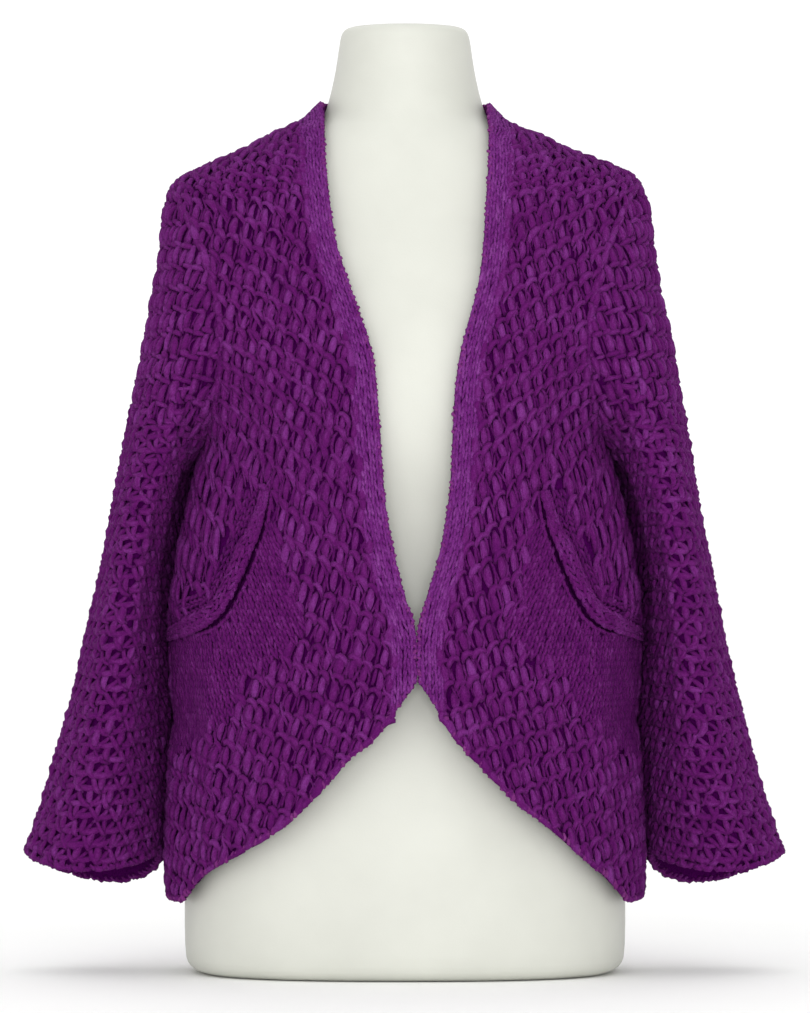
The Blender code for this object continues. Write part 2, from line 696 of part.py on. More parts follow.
def front_band(side, material):
    """Stocking-stitch band: up one front edge and round the neck to the centre back."""
    sign = SIDES[side]
    fine = 400
    front_edge = NECK_HEIGHT + (FRONT_TIP_HEIGHT - NECK_HEIGHT) * np.linspace(0.0, 1.0, fine) ** 1.8
    top = seam_top()
    front_seam = top + (BAND_SEAM_END - top) * np.linspace(0.0, 1.0, fine) ** 1.8
    edge_angle = ring_angle(OPENING.at(side, front_edge), front_edge, "front")
    seam_x = OPENING.at(side, np.maximum(front_seam, FRONT_TIP_HEIGHT)) + sign * BAND_WIDTH
    seam_angle = ring_angle(seam_x, front_seam, "front")
    edge_angle[0] = seam_angle[0] = sign * math.pi / 2

    def strip(angle_edge, height_edge, angle_seam, height_seam, face, at_seam, columns=4):
        """Rows of points from the free edge to given places on the seam."""
        order = np.arange(len(angle_edge))
        seam_share = path_share(ring_point(angle_seam, height_seam, face))
        edge_share = path_share(ring_point(angle_edge, height_edge, face))
        at_edge = np.interp(np.interp(at_seam, order, seam_share), edge_share, order)
        share = np.linspace(0.0, 1.0, columns)
        edge_a, edge_h = np.interp(at_edge, order, angle_edge), np.interp(at_edge, order, height_edge)
        seam_a, seam_h = np.interp(at_seam, order, angle_seam), np.interp(at_seam, order, height_seam)
        angles = edge_a[:, None] * (1 - share) + seam_a[:, None] * share
        heights = edge_h[:, None] * (1 - share) + seam_h[:, None] * share
        points = ring_point(angles, heights, face)
        normals = ring_normal(points, face)
        return points, normals

    rows = front_grid(side)[1][:, 0]
    rows = np.concatenate(([top], rows[rows > BAND_SEAM_END - 0.0001]))
    at_seam = np.interp(-rows, -front_seam, np.arange(fine))
    front = strip(edge_angle, front_edge, seam_angle, front_seam, "front", at_seam)
    turn = np.linspace(math.pi / 2, SEAM_GAP / (2 * BODY_DEPTH.at("back", NECK_HEIGHT)), fine)
    ease = np.sin(turn)
    back_edge = BACK_NECK_EDGE + (NECK_HEIGHT - BACK_NECK_EDGE) * ease
    back_seam = np.full_like(turn, top)
    at_seam = even_rows(ring_point(turn, back_seam, "back"), 9)
    back = strip(sign * turn, back_edge, sign * turn, back_seam, "back", at_seam)
    points = np.concatenate((front[0][::-1], back[0][1:]))
    normals = np.concatenate((front[1][::-1], back[1][1:]))
    inner = points - BAND_THICKNESS * normals
    return closed_wall("front_band_" + side, points, inner, material)


def smooth_run(corners, count):
    """Evenly spaced ring angles and heights along a smooth curve through a few corners."""
    corners = np.array([(float(ring_angle(x, z, "front")), z) for x, z in corners])
    steps = np.hypot(np.diff(corners[:, 0]) * RING_RADIUS, np.diff(corners[:, 1]))
    chord = np.concatenate(([0.0], np.cumsum(steps)))
    run = Sections(("place", "angle", "height"), np.column_stack((chord, corners)))
    places = np.linspace(0.0, chord[-1], count)
    return np.stack((run.at("angle", places), run.at("height", places)), axis=-1)


def on_front(plane, side, lift):
    """Points a given lift above a front's own facets, from its grid of points."""
    angles, heights = front_grid(side)
    skin, directions = folded_body(angles, heights, "front")
    turned = angles * SIDES[side]
    rows, columns = np.arange(angles.shape[0]), np.arange(FRONT_COLUMNS)
    row, column = np.zeros(plane.shape[:2]), np.full(plane.shape[:2], FRONT_COLUMNS / 2.0)
    for place in np.ndindex(row.shape):
        for _ in range(12):
            beside = min(int(column[place]), FRONT_COLUMNS - 2)
            over = column[place] - beside
            line = heights[:, beside] * (1 - over) + heights[:, beside + 1] * over
            row[place] = np.interp(-plane[place][1], -line, rows)
            above = min(int(row[place]), len(rows) - 2)
            down = row[place] - above
            line = turned[above] * (1 - down) + turned[above + 1] * down
            column[place] = np.interp(plane[place][0], line, columns)
    above = np.minimum(row.astype(int), len(rows) - 2)
    beside = np.minimum(column.astype(int), FRONT_COLUMNS - 2)
    down, over = (row - above)[..., None], (column - beside)[..., None]

    def read(grid):
        """Value of a grid of the panel at the wanted places."""
        upper = grid[above, beside] * (1 - over) + grid[above, beside + 1] * over
        lower = grid[above + 1, beside] * (1 - over) + grid[above + 1, beside + 1] * over
        return upper * (1 - down) + lower * down

    return read(skin) + lift[..., None] * unit(read(directions))


def pocket_panel(side, material):
    """Stocking-stitch panel that lies on the front below the pocket opening."""
    upper = smooth_run(POCKET_LINE, 20)
    lower = smooth_run(POCKET_OUTLINE, 20)
    share = np.linspace(0.0, 1.0, 8)[None, :, None]
    plane = upper[:, None, :] * (1 - share) + lower[:, None, :] * share
    low = np.full(plane.shape[:2], LAY_ON_GAP)
    inner = on_front(plane, side, low)
    outer = on_front(plane, side, low + POCKET_PANEL_THICKNESS)
    return closed_wall("pocket_panel_" + side, outer, inner, material)


def pocket_band(side, material):
    """Rolled band that stands proud along the upper side of the pocket opening."""
    line = smooth_run(POCKET_LINE, 19)
    scale = np.array((RING_RADIUS, 1.0))
    run = np.gradient(line * scale, axis=0)
    away = unit(np.stack((-run[:, 1], run[:, 0]), axis=-1))
    share = np.linspace(0.0, 1.0, 6)
    offset = SEAM_GAP * 2 + share * POCKET_BAND_WIDTH
    plane = line[:, None, :] + away[:, None, :] / scale * offset[None, :, None]
    swell = np.sqrt(np.clip(1.0 - (2.0 * share - 1.0) ** 2, 0.0, 1.0))
    ends = np.sin(np.linspace(0.12, math.pi - 0.12, len(line))) ** 0.3
    proud = 0.0010 + (POCKET_BAND_THICKNESS - 0.0010) * swell[None, :] * ends[:, None]
    low = np.full(plane.shape[:2], LAY_ON_GAP)
    inner = on_front(plane, side, low)
    outer = on_front(plane, side, low + proud)
    return closed_wall("pocket_band_" + side, outer, inner, material)


def dress_form(material):
    """Smooth limbless torso with a flat base and a shallow domed neck cap."""
    corner = np.linspace(0.0, math.pi / 2, 4)
    rings = [(FORM_EDGE_RADIUS * (1 - math.sin(a)), FORM_EDGE_RADIUS * (1 - math.cos(a))) for a in corner]
    rings = [(height, inset) for inset, height in rings]
    upper = [height for height in FORM.place if height > FORM_EDGE_RADIUS + 0.01]
    rings = rings + [(height, 0.0) for height in upper]
    turns = np.linspace(0.0, 2.0 * math.pi, FORM_SEGMENTS, endpoint=False)
    shape = bmesh.new()
    loops = []
    for height, inset in rings:
        half_width = float(FORM.at("half_width", height)) - inset
        half_depth = float(FORM.at("half_depth", height)) - inset
        power = 2.0 / float(FORM.at("squareness", height))
        centre = float(FORM.at("centre_y", height))
        loop = []
        for turn in turns:
            cosine, sine = math.cos(turn), math.sin(turn)
            x = half_width * math.copysign(abs(cosine) ** power, cosine)
            y = centre + half_depth * math.copysign(abs(sine) ** power, sine)
            loop.append(shape.verts.new((x, y, height)))
        loops.append(loop)
    for lower, higher in zip(loops, loops[1:]):
        for i in range(FORM_SEGMENTS):
            j = (i + 1) % FORM_SEGMENTS
            shape.faces.new((lower[i], lower[j], higher[j], higher[i]))
    shape.faces.new(loops[0][::-1])
    crown = shape.verts.new((0.0, 0.0, FORM_TOP))
    for i in range(FORM_SEGMENTS):
        shape.faces.new((loops[-1][i], loops[-1][(i + 1) % FORM_SEGMENTS], crown))
    mesh = bpy.data.meshes.new("dress_form")
    shape.to_mesh(mesh)
    shape.free()
    face_out(mesh)
    return add_object("dress_form", mesh, material)


# --------------------------------------------------------------------- materials


def make_material(name, colour, roughness, sheen):
    """A Principled material from an sRGB colour and two finish values."""
    material = bpy.data.materials.new(name)
    material.use_nodes = True
    shader = material.node_tree.nodes["Principled BSDF"]
    linear = [c / 12.92 if c <= 0.04045 else ((c + 0.055) / 1.055) ** 2.4 for c in colour]
    shader.inputs["Base Color"].default_value = (*linear, 1.0)
    shader.inputs["Roughness"].default_value = roughness
    shader.inputs["Metallic"].default_value = 0.0
    shader.inputs["Sheen Weight"].default_value = sheen
    return material


def main():
    for old in list(bpy.data.objects):
        bpy.data.objects.remove(old, do_unlink=True)
    tuck_knit = make_material("violet_tuck_knit", (0.35, 0.09, 0.38), 0.9, 0.3)
    stocking_knit = make_material("violet_stocking_knit", (0.41, 0.14, 0.43), 0.85, 0.3)
    form_cover = make_material("ivory_form_cover", (0.93, 0.93, 0.90), 0.55, 0.0)
    dress_form(form_cover)
    back_panel(tuck_knit)
    for side in SIDES:
        front_panel(side, tuck_knit)
        sleeve(side, tuck_knit)
        front_band(side, stocking_knit)
        pocket_panel(side, stocking_knit)
        pocket_band(side, stocking_knit)


main()
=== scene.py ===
"""Looks of an open-front knitted shrug with dolman sleeves, worn on a limbless dress form.

Metres, +Z up; the opening faces -Y, and right and left are the wearer's.  Every piece of
cloth is a thin shell that follows the garment's own surface, and its stitches are
strands of yarn laid on that shell.  The body and the upper sleeves have upright held
loops with a bump of yarn over each, the lower sleeves have a honeycomb with a bar in
each cell, and the bands and pockets are in stocking stitch.
"""

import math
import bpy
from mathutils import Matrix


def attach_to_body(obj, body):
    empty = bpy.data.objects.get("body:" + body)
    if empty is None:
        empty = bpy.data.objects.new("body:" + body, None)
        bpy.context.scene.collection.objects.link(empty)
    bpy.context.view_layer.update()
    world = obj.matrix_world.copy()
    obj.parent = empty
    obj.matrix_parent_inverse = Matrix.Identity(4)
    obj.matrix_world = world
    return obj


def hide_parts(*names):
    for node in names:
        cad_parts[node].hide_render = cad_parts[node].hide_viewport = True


bl_info = {
    "name": "Knitted shrug on a dress form",
    "version": (1, 0, 0),
    "blender": (4, 5, 0),
    "location": "View3D > Sidebar > Shrug",
    "description": "Builds the knitted shrug, its stitches, the dress form and the stage",
    "category": "Object",
}

import bpy
import numpy as np

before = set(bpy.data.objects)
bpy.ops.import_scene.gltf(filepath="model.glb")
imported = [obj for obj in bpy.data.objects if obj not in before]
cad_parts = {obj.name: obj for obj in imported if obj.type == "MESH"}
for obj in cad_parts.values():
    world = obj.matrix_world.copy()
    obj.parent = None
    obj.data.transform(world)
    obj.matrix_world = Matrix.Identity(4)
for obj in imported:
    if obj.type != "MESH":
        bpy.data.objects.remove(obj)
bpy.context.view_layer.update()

# ---------------------------------------------------------------- driving sizes

KNIT_THICKNESS = 0.0040
BAND_THICKNESS = 0.0034
PANEL_THICKNESS = 0.0024
# Room between two pieces where they are sewn, and under a band that lies on a front.
SEAM_GAP = 0.0003
LAY_ON_GAP = 0.0018
# How far the ground of each piece lies under its outer skin, to leave room for the stitches.
BODY_STITCH_ROOM = 0.0027
SLEEVE_STITCH_ROOM = 0.0026
BAND_STITCH_ROOM = 0.0014
PANEL_STITCH_ROOM = 0.0008
ROLL_STITCH_ROOM = 0.0006
BAND_WIDTH = 0.0195
POCKET_BAND_WIDTH = 0.0125
POCKET_BAND_THICKNESS = 0.0062
# Heights of the neck's edge at the shoulder and at the middle of the back, of the tip where
# the fronts meet, of the lower end of the bands' seams, of a cuff's outer line and of the hem.
NECK_HEIGHT = 0.6935
BACK_NECK_EDGE = 0.6985
FRONT_TIP_HEIGHT = 0.2339
BAND_SEAM_END = 0.2051
CUFF_HEIGHT = 0.0975
HEM_HEIGHT = 0.0600
# Ends of the armhole as distance out and height, and how far it scoops in between them.
SHOULDER_TIP = (0.187, 0.626)
UNDERARM = (0.162, 0.415)
ARMHOLE_SCOOP = 0.028
# Shape of a ring of cloth: 2 would be an ellipse, and more is squarer.
CLOTH_SQUARENESS = 2.3
# How a sleeve's sag gathers, and the share of its length in which it leaves the armhole's shape.
SAG_FULLNESS = 1.3
SEAM_EASE = 0.4
# Rough radius of the body, which turns a ring's angle into a distance along the cloth.
RING_RADIUS = 0.15
SIDES = {"right": -1.0, "left": 1.0}
# Widths of the pieces laid flat, where each is widest; a sleeve's is all round its cuff.
BACK_FLAT_WIDTH = 0.46
FRONT_FLAT_WIDTH = 0.24
SLEEVE_FLAT_WIDTH = 0.50
PANEL_FLAT_WIDTH = 0.11
ROLL_FLAT_WIDTH = 0.018
# Where the knitting of the body and of a pocket panel is counted from.
LATTICE_TOP = 0.70
PANEL_TOP = 0.395
PANEL_START = 0.064
PANEL_PIVOT = 0.28
# Length of a course of the front bands, and of one of the rolled pocket bands.
BAND_COURSE = 0.0071
ROLL_COURSE = 0.0066
# Camera, and what its view takes in from top to bottom at the middle of the form.
CAMERA_DISTANCE = 5.0
CAMERA_HEIGHT = 0.3711
FRAME_HEIGHT = 1013 / 1250.0
SENSOR = 36.0
LIGHT_AIM = (0.0, 0.0, 0.36)


class Sections:
    """A short table read as smooth curves: the first column is the place of a row."""

    def __init__(self, columns, rows):
        rows = np.array(sorted(tuple(row) for row in rows), dtype=float)
        self.place = rows[:, 0]
        self.sizes = {name: rows[:, i] for i, name in enumerate(columns)}

    def at(self, name, place):
        """A column's value at any place, along a monotone cubic with no overshoot."""
        knots, values = self.place, self.sizes[name]
        place = np.clip(np.asarray(place, dtype=float), knots[0], knots[-1])
        steps = np.diff(knots)
        slopes = np.diff(values) / steps
        tangents = np.concatenate(([slopes[0]], np.zeros(len(knots) - 2), [slopes[-1]]))
        before, after = slopes[:-1], slopes[1:]
        same_way = before * after > 0
        total = np.where(same_way, before + after, 1.0)
        tangents[1:-1] = np.where(same_way, 2.0 * before * after / total, 0.0)
        i = np.clip(np.searchsorted(knots, place) - 1, 0, len(knots) - 2)
        s = (place - knots[i]) / steps[i]
        return ((2 * s**3 - 3 * s**2 + 1) * values[i] + (s**3 - 2 * s**2 + s) * steps[i] * tangents[i]
                + (3 * s**2 - 2 * s**3) * values[i + 1] + (s**3 - s**2) * steps[i] * tangents[i + 1])


BODY_WIDTH = Sections(
    ("height", "half_width"),
    ((0.058, 0.1897), (0.095, 0.1914), (0.150, 0.1890), (0.178, 0.1875), (0.204, 0.1835),
     (0.228, 0.1868), (0.279, 0.1876), (0.309, 0.1838), (0.361, 0.1752), (0.385, 0.1692),
     (0.402, 0.1644), (0.415, 0.1620), (0.428, 0.1640), (0.450, 0.1702), (0.480, 0.1825),
     (0.520, 0.1985), (0.556, 0.2055), (0.590, 0.2010), (0.612, 0.1930), (0.626, 0.1870),
     (0.634, 0.1790), (0.645, 0.1600), (0.659, 0.1265), (0.668, 0.1090), (0.675, 0.0900),
     (0.681, 0.0795), (0.690, 0.0705), (0.6935, 0.0668), (0.7000, 0.0600)))
BODY_DEPTH = Sections(
    ("height", "front", "back"),
    ((0.058, 0.1500, 0.1420), (0.150, 0.1490, 0.1390), (0.250, 0.1440, 0.1320),
     (0.350, 0.1395, 0.1240), (0.440, 0.1390, 0.1210), (0.480, 0.1370, 0.1210),
     (0.520, 0.1310, 0.1190), (0.560, 0.1210, 0.1150), (0.600, 0.1090, 0.1065),
     (0.626, 0.0985, 0.0970), (0.645, 0.0900, 0.0890), (0.664, 0.0810, 0.0800),
     (0.679, 0.0735, 0.0740), (0.6935, 0.0675, 0.0665), (0.7000, 0.0640, 0.0630)))
OPENING = Sections(
    ("height", "right", "left"),
    ((0.6935, -0.0668, 0.0668), (0.6780, -0.0652, 0.0672), (0.6455, -0.0630, 0.0661),
     (0.6127, -0.0595, 0.0640), (0.5801, -0.0545, 0.0620), (0.5481, -0.0444, 0.0580),
     (0.5166, -0.0338, 0.0502), (0.4851, -0.0243, 0.0423), (0.4540, -0.0214, 0.0388),
     (0.3917, -0.0170, 0.0358), (0.3606, -0.0137, 0.0320), (0.3295, -0.0073, 0.0258),
     (0.2984, 0.0008, 0.0162), (0.2800, 0.0073, 0.0107), (0.2657, 0.0088, 0.0095),
     (0.2424, 0.0093, 0.0099), (0.2339, 0.0082, 0.0110)))
CUTAWAY = Sections(
    ("height", "right", "left"),
    ((0.0600, -0.1770, 0.1770), (0.0800, -0.1620, 0.1600), (0.0960, -0.1375, 0.1405),
     (0.1118, -0.1112, 0.1238), (0.1274, -0.0897, 0.1053), (0.1429, -0.0734, 0.0850),
     (0.1585, -0.0588, 0.0702), (0.1740, -0.0455, 0.0554), (0.1896, -0.0261, 0.0400),
     (0.2051, -0.0121, 0.0313)))
SLEEVE_OUTER = Sections(
    ("height", "right", "left"),
    ((0.6260, 0.1870, 0.1870), (0.6060, 0.1926, 0.1948), (0.5740, 0.1952, 0.1985),
     (0.5410, 0.2012, 0.2040), (0.5136, 0.2060, 0.2108), (0.4660, 0.2152, 0.2188),
     (0.3700, 0.2332, 0.2344), (0.3220, 0.2420, 0.2440), (0.2740, 0.2532, 0.2528),
     (0.2260, 0.2636, 0.2640), (0.1780, 0.2772, 0.2760), (0.1460, 0.2860, 0.2850),
     (0.1140, 0.2968, 0.2955), (0.0975, 0.3034, 0.3020)))
SLEEVE_INNER = Sections(
    ("height", "right", "left"),
    ((0.4150, 0.1620, 0.1620), (0.3940, 0.1800, 0.1800), (0.3507, 0.1908, 0.1908),
     (0.3163, 0.1962, 0.1962), (0.2643, 0.1975, 0.1975), (0.1760, 0.1980, 0.1975),
     (0.0975, 0.1960, 0.1965)))
SLEEVE_RING = Sections(
    ("along", "front_reach", "back_reach", "scoop", "tuck", "front_sag", "back_sag"),
    ((0.00, 0.0970, 0.0920, 0.028, 0.000, 0.000, 0.000),
     (0.05, 0.0945, 0.0905, 0.024, 0.010, 0.000, 0.000),
     (0.15, 0.0885, 0.0865, 0.016, 0.014, 0.000, 0.000),
     (0.35, 0.0820, 0.0820, 0.005, 0.018, 0.000, 0.000),
     (0.60, 0.0745, 0.0760, 0.000, 0.0185, 0.002, 0.004),
     (0.80, 0.0670, 0.0700, 0.000, 0.0180, 0.007, 0.013),
     (0.94, 0.0620, 0.0650, 0.000, 0.014, 0.011, 0.022),
     (1.00, 0.0600, 0.0630, 0.000, 0.005, 0.013, 0.028)))
POCKET_LINE = ((0.1050, 0.3830), (0.1105, 0.3575), (0.1197, 0.3325), (0.1288, 0.3108),
               (0.1405, 0.2885), (0.1520, 0.2775), (0.1680, 0.2705), (0.1860, 0.2640))
POCKET_OUTLINE = ((0.1020, 0.3760), (0.0992, 0.3530), (0.0968, 0.3217), (0.0800, 0.2813),
                  (0.1007, 0.2540), (0.1241, 0.2408), (0.1390, 0.2065), (0.1860, 0.1720))
SETTLE = Sections(
    ("x", "rise"),
    ((-0.195, 0.0000), (-0.155, -0.0024), (-0.120, -0.0018), (-0.076, 0.0012),
     (-0.050, 0.0000), (0.060, 0.0000), (0.100, -0.0012), (0.135, -0.0012),
     (0.170, 0.0016), (0.190, 0.0040), (0.215, 0.0030)))

# Soft folds: a ridge (+) or trough (-) along a straight run on the cloth.
BODY_FOLDS = Sections(
    ("number", "x0", "z0", "x1", "z1", "half_width", "height"),
    ((0, 0.150, 0.400, 0.172, 0.300, 0.024, 0.0055),
     (1, 0.136, 0.480, 0.118, 0.420, 0.014, -0.0030),
     (2, 0.170, 0.235, 0.171, 0.120, 0.012, -0.0030),
     (3, 0.146, 0.245, 0.152, 0.110, 0.014, 0.0035),
     (4, 0.085, 0.430, 0.070, 0.330, 0.018, 0.0025)))
BACK_FOLDS = Sections(
    ("number", "x0", "z0", "x1", "z1", "half_width", "height"),
    ((0, 0.140, 0.440, 0.160, 0.180, 0.018, 0.0050),
     (1, 0.105, 0.400, 0.118, 0.120, 0.016, -0.0035),
     (2, 0.060, 0.420, 0.072, 0.100, 0.020, 0.0045),
     (3, 0.015, 0.380, 0.018, 0.120, 0.020, -0.0030),
     (4, 0.120, 0.560, 0.085, 0.470, 0.020, -0.0030)))
SLEEVE_FOLDS = Sections(
    ("number", "turn0", "percent0", "turn1", "percent1", "half_turn", "height"),
    ((0, 118, 10, 138, 62, 20, -0.0060),
     (1, 62, 30, 74, 92, 22, 0.0045),
     (2, 300, 25, 286, 90, 24, 0.0045),
     (3, 252, 14, 248, 66, 18, -0.0040)))

# How the knitting hangs.  The slope is the rise of a course for each metre out from the
# middle, and the lean is how far a wale has moved out at each height.
FRONT_HANG = Sections(
    ("height", "slope", "lean"),
    ((0.060, 0.28, 0.150), (0.150, 0.29, 0.122), (0.240, 0.30, 0.096), (0.310, 0.42, 0.078),
     (0.370, 0.56, 0.064), (0.430, 0.66, 0.050), (0.500, 0.58, 0.034), (0.600, 0.52, 0.011),
     (0.660, 0.50, 0.000)))
BACK_HANG = Sections(
    ("height", "slope", "lean"),
    ((0.060, 0.22, 0.060), (0.200, 0.26, 0.040), (0.400, 0.36, 0.020), (0.550, 0.36, 0.008),
     (0.660, 0.30, 0.000)))

# ------------------------------------------------------------- the garment's surface

ARMHOLE_CENTRE = ((SHOULDER_TIP[0] + UNDERARM[0]) / 2, (SHOULDER_TIP[1] + UNDERARM[1]) / 2)
ARMHOLE_HALF = ((SHOULDER_TIP[0] - UNDERARM[0]) / 2, (SHOULDER_TIP[1] - UNDERARM[1]) / 2)


def unit(vectors):
    """Vectors at length one."""
    return vectors / np.maximum(np.linalg.norm(vectors, axis=-1, keepdims=True), 1e-12)


def soft_step(value):
    """Zero below 0, one above 1 and a smooth rise between."""
    value = np.clip(value, 0.0, 1.0)
    return value * value * (3.0 - 2.0 * value)


def ring_size(height, face):
    """Half width and depth of the whole ring that a row of cloth is a part of."""
    return BODY_WIDTH.at("half_width", height), BODY_DEPTH.at(face, height)


def armhole_at_height(height, face):
    """Distance out and distance from the seam plane of the armhole at a height."""
    cosine = np.clip((height - ARMHOLE_CENTRE[1]) / ARMHOLE_HALF[1], -1.0, 1.0)
    out = ARMHOLE_CENTRE[0] + ARMHOLE_HALF[0] * cosine - ARMHOLE_SCOOP * (1.0 - cosine**2)
    width, depth = ring_size(height, face)
    share = np.clip(out / width, 0.0, 1.0) ** CLOTH_SQUARENESS
    return out, depth * (1.0 - share) ** (1.0 / CLOTH_SQUARENESS)


def ring_angle(x, height, face):
    """Angle from the middle of the front or back to a signed distance x, on its ring."""
    width, _ = ring_size(height, face)
    share = np.clip(np.abs(x) / width, 0.0, 1.0) ** (CLOTH_SQUARENESS / 2)
    return np.sign(x) * np.arcsin(share)


def end_angle(height, face):
    """Angle at which a row ends: at the armhole, or else at the side seam or ridge."""
    out, _ = armhole_at_height(height, face)
    in_armhole = (height < SHOULDER_TIP[1]) & (height > UNDERARM[1])
    return np.where(in_armhole, ring_angle(out, height, face), math.pi / 2)


def ring_point(angle, height, face):
    """Point on a ring; the angle is zero in the middle and grows to the wearer's left."""
    width, depth = ring_size(height, face)
    power = 2.0 / CLOTH_SQUARENESS
    x = width * np.sign(angle) * np.abs(np.sin(angle)) ** power
    y = depth * np.abs(np.cos(angle)) ** power
    return np.stack((x, -y if face == "front" else y, height + 0.0 * x), axis=-1)


def ring_normal(points, face):
    """Outward direction of the body's surface, from the slope of its ring equation."""
    step = 0.0015
    x, y, height = np.abs(points[..., 0]), np.abs(points[..., 1]), points[..., 2]

    def ring_value(at_height):
        width, depth = ring_size(at_height, face)
        return (x / width) ** CLOTH_SQUARENESS + (y / depth) ** CLOTH_SQUARENESS

    width, depth = ring_size(height, face)
    power = CLOTH_SQUARENESS - 1.0
    slope = np.stack((
        np.sign(points[..., 0]) * CLOTH_SQUARENESS / width * (x / width) ** power,
        np.sign(points[..., 1]) * CLOTH_SQUARENESS / depth * (y / depth) ** power,
        (ring_value(height + step) - ring_value(height - step)) / (2 * step),
    ), axis=-1)
    return unit(slope)


def fold_height(across, along, folds, ends, spread):
    """Sum of soft ridges and troughs at places on a piece."""
    total = np.zeros(np.broadcast(across, along).shape)
    for i in range(len(folds.place)):
        a0, b0, a1, b1 = (folds.sizes[name][i] for name in ends)
        run = np.array((a1 - a0, b1 - b0))
        share = ((across - a0) * run[0] + (along - b0) * run[1]) / (run @ run)
        near = np.clip(share, 0.0, 1.0)
        apart = np.hypot(across - a0 - near * run[0], along - b0 - near * run[1])
        total = total + folds.sizes["height"][i] * np.exp(-((apart / folds.sizes[spread][i]) ** 2))
    return total


def body_relief(points, face):
    """How far the folds lift the body's cloth."""
    folds = BODY_FOLDS if face == "front" else BACK_FOLDS
    x = np.abs(points[..., 0]) + (0.008 * np.sign(points[..., 0]) if face == "back" else 0.0)
    lift = fold_height(x, points[..., 2], folds, ("x0", "z0", "x1", "z1"), "half_width")
    return lift * soft_step((SHOULDER_TIP[1] - points[..., 2]) / 0.05)


def folded_body(angle, height, face):
    """Outer skin of the body and its outward direction, folds and underarm included."""
    points = ring_point(angle, height, face)
    normals = ring_normal(points, face)
    edge = end_angle(height, face)
    to_edge = soft_step((edge - np.abs(angle)) / 0.28)
    points = points + (body_relief(points, face) * to_edge)[..., None] * normals
    side = np.sign(points[..., 0])
    seam = seam_normal(height, face) * np.stack((side, np.ones_like(side), np.ones_like(side)), axis=-1)
    near_seam = (1.0 - soft_step((edge - np.abs(angle)) / 0.35)) * soft_step(
        (height - UNDERARM[1] + 0.025) / 0.025) * soft_step((SHOULDER_TIP[1] - height) / 0.002)
    normals = unit(normals * (1.0 - near_seam[..., None]) + seam * near_seam[..., None])
    return points, normals


def sleeve_point(turn, along, side):
    """Point of a sleeve's plain outer skin; the turn is 0 at the outer line, 90 in front."""
    sign = SIDES[side]
    outer_z = SHOULDER_TIP[1] + (CUFF_HEIGHT - SHOULDER_TIP[1]) * along
    inner_z = UNDERARM[1] + (CUFF_HEIGHT - UNDERARM[1]) * along
    outer_x = SLEEVE_OUTER.at(side, outer_z)
    inner_x = SLEEVE_INNER.at(side, inner_z)
    cosine, sine = np.cos(turn), np.sin(turn)
    front = sine > 0
    reach = np.where(front, SLEEVE_RING.at("front_reach", along), SLEEVE_RING.at("back_reach", along))
    sag = np.where(front, SLEEVE_RING.at("front_sag", along), SLEEVE_RING.at("back_sag", along))
    tuck = SLEEVE_RING.at("tuck", along) * 2.0 * np.maximum(-sine, 0.0) * np.maximum(-cosine, 0.0)
    x = (outer_x + inner_x) / 2 + cosine * (outer_x - inner_x) / 2
    x = x - SLEEVE_RING.at("scoop", along) * sine**2 - tuck
    droop = sag * np.abs(sine) ** SAG_FULLNESS * np.where(front, 1.0, 1.0 - 0.3 * cosine)
    z = (outer_z + inner_z) / 2 + cosine * (outer_z - inner_z) / 2 - droop
    seam_height = ARMHOLE_CENTRE[1] + ARMHOLE_HALF[1] * cosine
    at_seam = np.where(front, armhole_at_height(seam_height, "front")[1],
                       armhole_at_height(seam_height, "back")[1])
    own = soft_step(along / SEAM_EASE)
    away = at_seam * (1.0 - own) + reach * np.abs(sine) * own
    return np.stack((sign * x, -np.sign(sine) * away, z), axis=-1)


def sleeve_normal(turn, along, side):
    """Outward direction of the plain sleeve, from its slopes round and along."""
    step = 0.004
    along = np.clip(along, step, 1.0 - step)
    round_it = sleeve_point(turn + step, along, side) - sleeve_point(turn - step, along, side)
    down_it = sleeve_point(turn, along + step, side) - sleeve_point(turn, along - step, side)
    return unit(np.cross(round_it, down_it) * SIDES[side])


def seam_normal(height, face):
    """Direction of the cloth's thickness along the armhole seam, for the wearer's left."""
    heights = np.linspace(UNDERARM[1], SHOULDER_TIP[1], 240)
    if face not in SEAM_TABLE:
        cosine = np.clip((heights - ARMHOLE_CENTRE[1]) / ARMHOLE_HALF[1], -1.0, 1.0)
        turn = np.arccos(cosine) * (1.0 if face == "front" else -1.0)
        out, away = armhole_at_height(heights, face)
        place = np.stack((out, -away if face == "front" else away, heights), axis=-1)
        SEAM_TABLE[face] = unit(ring_normal(place, face) + sleeve_normal(turn, 0.0 * turn, "left"))
    return np.stack([np.interp(height, heights, SEAM_TABLE[face][:, i]) for i in range(3)], axis=-1)


SEAM_TABLE = {}


def folded_sleeve(turn, along, side):
    """Outer skin of a sleeve and its outward direction, folds and armhole included."""
    points = sleeve_point(turn, along, side)
    normals = sleeve_normal(turn, along, side)
    degrees = np.degrees(turn) % 360.0
    lift = fold_height(degrees, along * 100.0, SLEEVE_FOLDS,
                       ("turn0", "percent0", "turn1", "percent1"), "half_turn")
    lift = lift * soft_step(along / 0.12)
    start = np.cos(turn) * ARMHOLE_HALF[1] + ARMHOLE_CENTRE[1]
    seam = np.where((np.sin(turn) > 0)[..., None], seam_normal(start, "front"),
                    seam_normal(start, "back"))
    seam = seam * np.array((SIDES[side], 1.0, 1.0))
    near_seam = (1.0 - soft_step(along / 0.10))[..., None]
    points = points + lift[..., None] * normals
    normals = unit(normals * (1.0 - near_seam) + seam * near_seam)
    return points, normals


def settled(points):
    """Points of the cloth with the small lift or drop that they have at the shoulders."""
    share = soft_step((points[..., 2] - 0.50) / 0.12)
    lifted = points.copy()
    lifted[..., 2] += SETTLE.at("rise", points[..., 0]) * share
    return lifted


